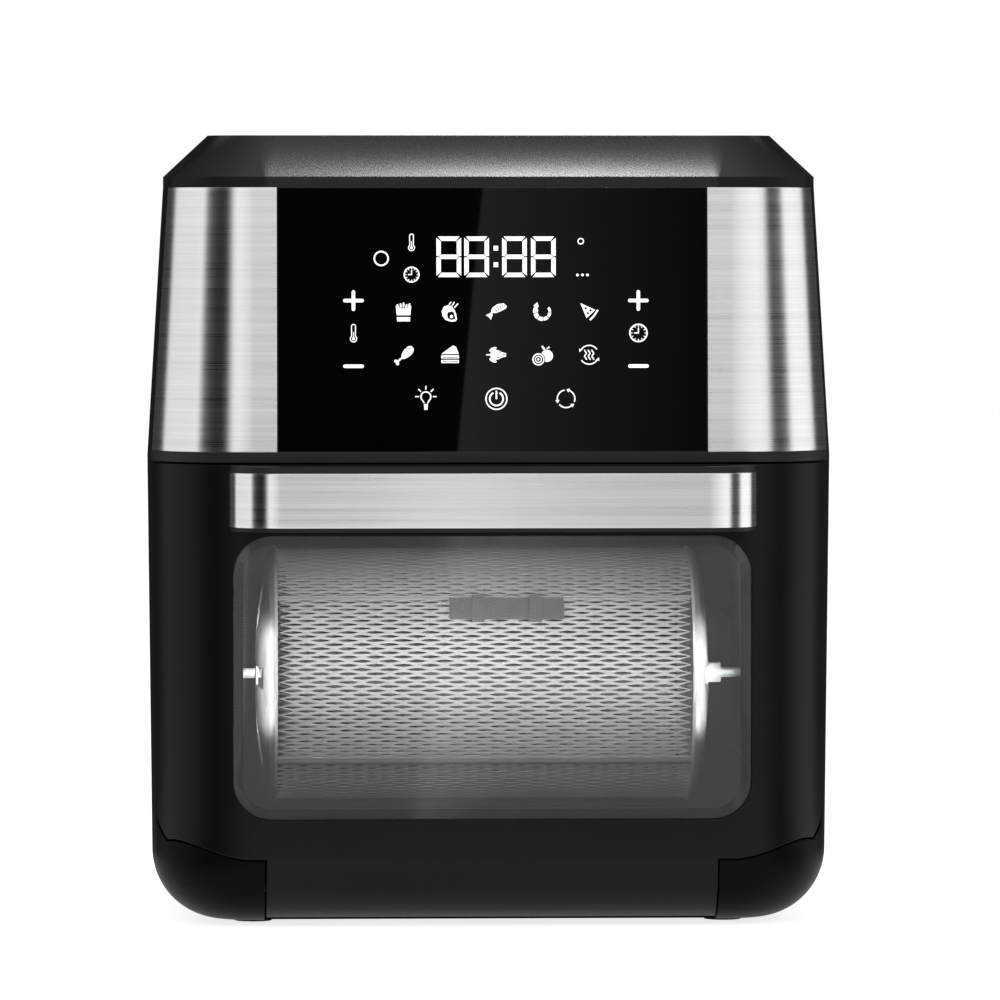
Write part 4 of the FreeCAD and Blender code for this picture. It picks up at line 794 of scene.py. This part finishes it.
flagShape = {
    "inner": 0.25,          # of the sector on the floor
    "radius": 0.75,
    "low": 0.001,
    "high": 1.9,
    "soft": 5.0,            # degrees
    "count": 13,            # points across
}
flags = {  # azimuths from the front in degrees, tone
    "flagLeft": (-57, -29, 0.0),
    "sideLeft": (-97, -63, 0.85),
    "flagRight": (47.5, 67, 0.04),
    "rearLeft": (-165, -103, 0.04),
    "rearRight": (101, 165, 0.05),
}


def flagFinish(name, start, stop, tone):
    # one tone between two azimuths, easing to white over a few degrees at each edge
    f = Finish(name)
    x, y = f.axis("X"), f.axis("Y")
    turn = x.calc("ARCTAN2", x, 0.0 - y)
    soft = math.radians(flagShape["soft"])
    rising = (turn - math.radians(start) + 0.5*soft)/soft
    falling = (math.radians(stop) + 0.5*soft - turn)/soft
    return f.surface(f.glow(1.0 + (tone - 1.0)*(rising.clip()*falling.clip())))


def standingCard(name, start, stop, tone):
    # a sector of the floor about the oven, then part of an upright cylinder: azimuth from the front
    margin = 0.5*flagShape["soft"]
    turn = np.radians(np.linspace(start - margin, stop + margin, flagShape["count"]))
    z = np.array([flagShape["low"], flagShape["low"], flagShape["high"]])[:, None]
    radius = np.array([flagShape["inner"], flagShape["radius"], flagShape["radius"]])[:, None]
    points = np.stack(np.broadcast_arrays(radius*np.sin(turn), -radius*np.cos(turn), z), -1)
    addStage(name, points, gridFaces(3, flagShape["count"]), flagFinish(name, start, stop, tone), True)


panes = {  # flat cards by their corners: two mirrored in the touch glass, one in the window
    "panelFlag": [(-0.13, -1.9, 0.345), (0.28, -1.9, 0.345), (0.28, -1.9, 0.615), (-0.13, -1.9, 0.615)],
    "panelGleam": [(0.0435, -1.89, 0.36), (0.27, -1.89, 0.36), (0.27, -1.89, 0.60), (0.0672, -1.89, 0.60)],
    "windowFlag": [(-0.3, -3.4, 0.002), (0.5, -3.4, 0.002), (0.5, -0.5, 0.002), (-0.3, -0.5, 0.002)],
}
flagTone = 0.01  # of the dark one behind the touch glass's gleam


def makeStage():
    quad = [(0, 1, 2, 3)]
    s = floorSheet["half"]
    addStage("floor", [(-s, -s, 0), (s, -s, 0), (s, s, 0), (-s, s, 0)], quad, floorFinish())
    for name, (start, stop, tone) in flags.items():
        standingCard(name, start, stop, tone)
    addStage("panelFlag", panes["panelFlag"], quad, plainFinish("panelFlag", flagTone), True)
    addStage("panelGleam", panes["panelGleam"], quad, fadeFinish("panelGleam"), True)
    addStage("windowFlag", panes["windowFlag"], quad, edgeFinish("windowFlag"), True)
    world = bpy.data.worlds.new("surround")
    bpy.context.scene.world = world
    world.use_nodes = True
    f = Finish("surround", world.node_tree)
    strength = surround["light"] + surround["seen"]*f.seen()
    sky = f.node("ShaderNodeBackground", {}, {"Color": grey(1.0), "Strength": strength})
    f.node("ShaderNodeOutputWorld", {}, {"Surface": sky})


lamps = {  # place, aim, width, depth, watts, spread in degrees, shown in gloss
    "overhead": ((0.09, -0.02, 1.55), (0.03, -0.1, 0.36), 0.2, 0.2, 5.7, 180, True),
    "frontLeft": ((-1.5, -1.9, 1.3), (0.0, 0.0, 0.2), 0.9, 1.2, 10.0, 180, False),
    "frontRight": ((1.5, -1.9, 1.3), (0.0, 0.0, 0.2), 0.9, 1.2, 10.0, 180, False),
    "ovenLow": ((0.0, -0.1, 0.06), (0.0, -0.02, 0.1), 0.23, 0.02, 0.011, 180, False),
    "ovenFill": ((0.0, -0.1, 0.138), (0.0, 0.0, 0.12), 0.23, 0.08, 0.165, 180, False),
    "rimLeft": ((-0.1105, -0.105, 0.115), (-0.1105, 0.0, 0.115), 0.006, 0.05, 0.019, 20, False),
    "rimRight": ((0.1105, -0.105, 0.115), (0.1105, 0.0, 0.115), 0.006, 0.05, 0.019, 20, False),
}


def makeLamps():
    for name, (place, target, wide, deep, power, spread, shown) in lamps.items():
        data = bpy.data.lights.new(name, "AREA")
        data.shape = "RECTANGLE"
        data.size = wide
        data.size_y = deep
        data.energy = power
        data.spread = math.radians(spread)
        lamp = bpy.data.objects.new(name, data)
        lamp.location = place
        lamp.rotation_euler = (Vector(target) - Vector(place)).to_track_quat("-Z", "Y").to_euler()
        lamp.visible_camera = False
        lamp.visible_glossy = shown
        bpy.context.scene.collection.objects.link(lamp)


makeStage()
makeLamps()
bpy.context.scene.view_settings.view_transform = "Standard"
print("stage and lamps placed")
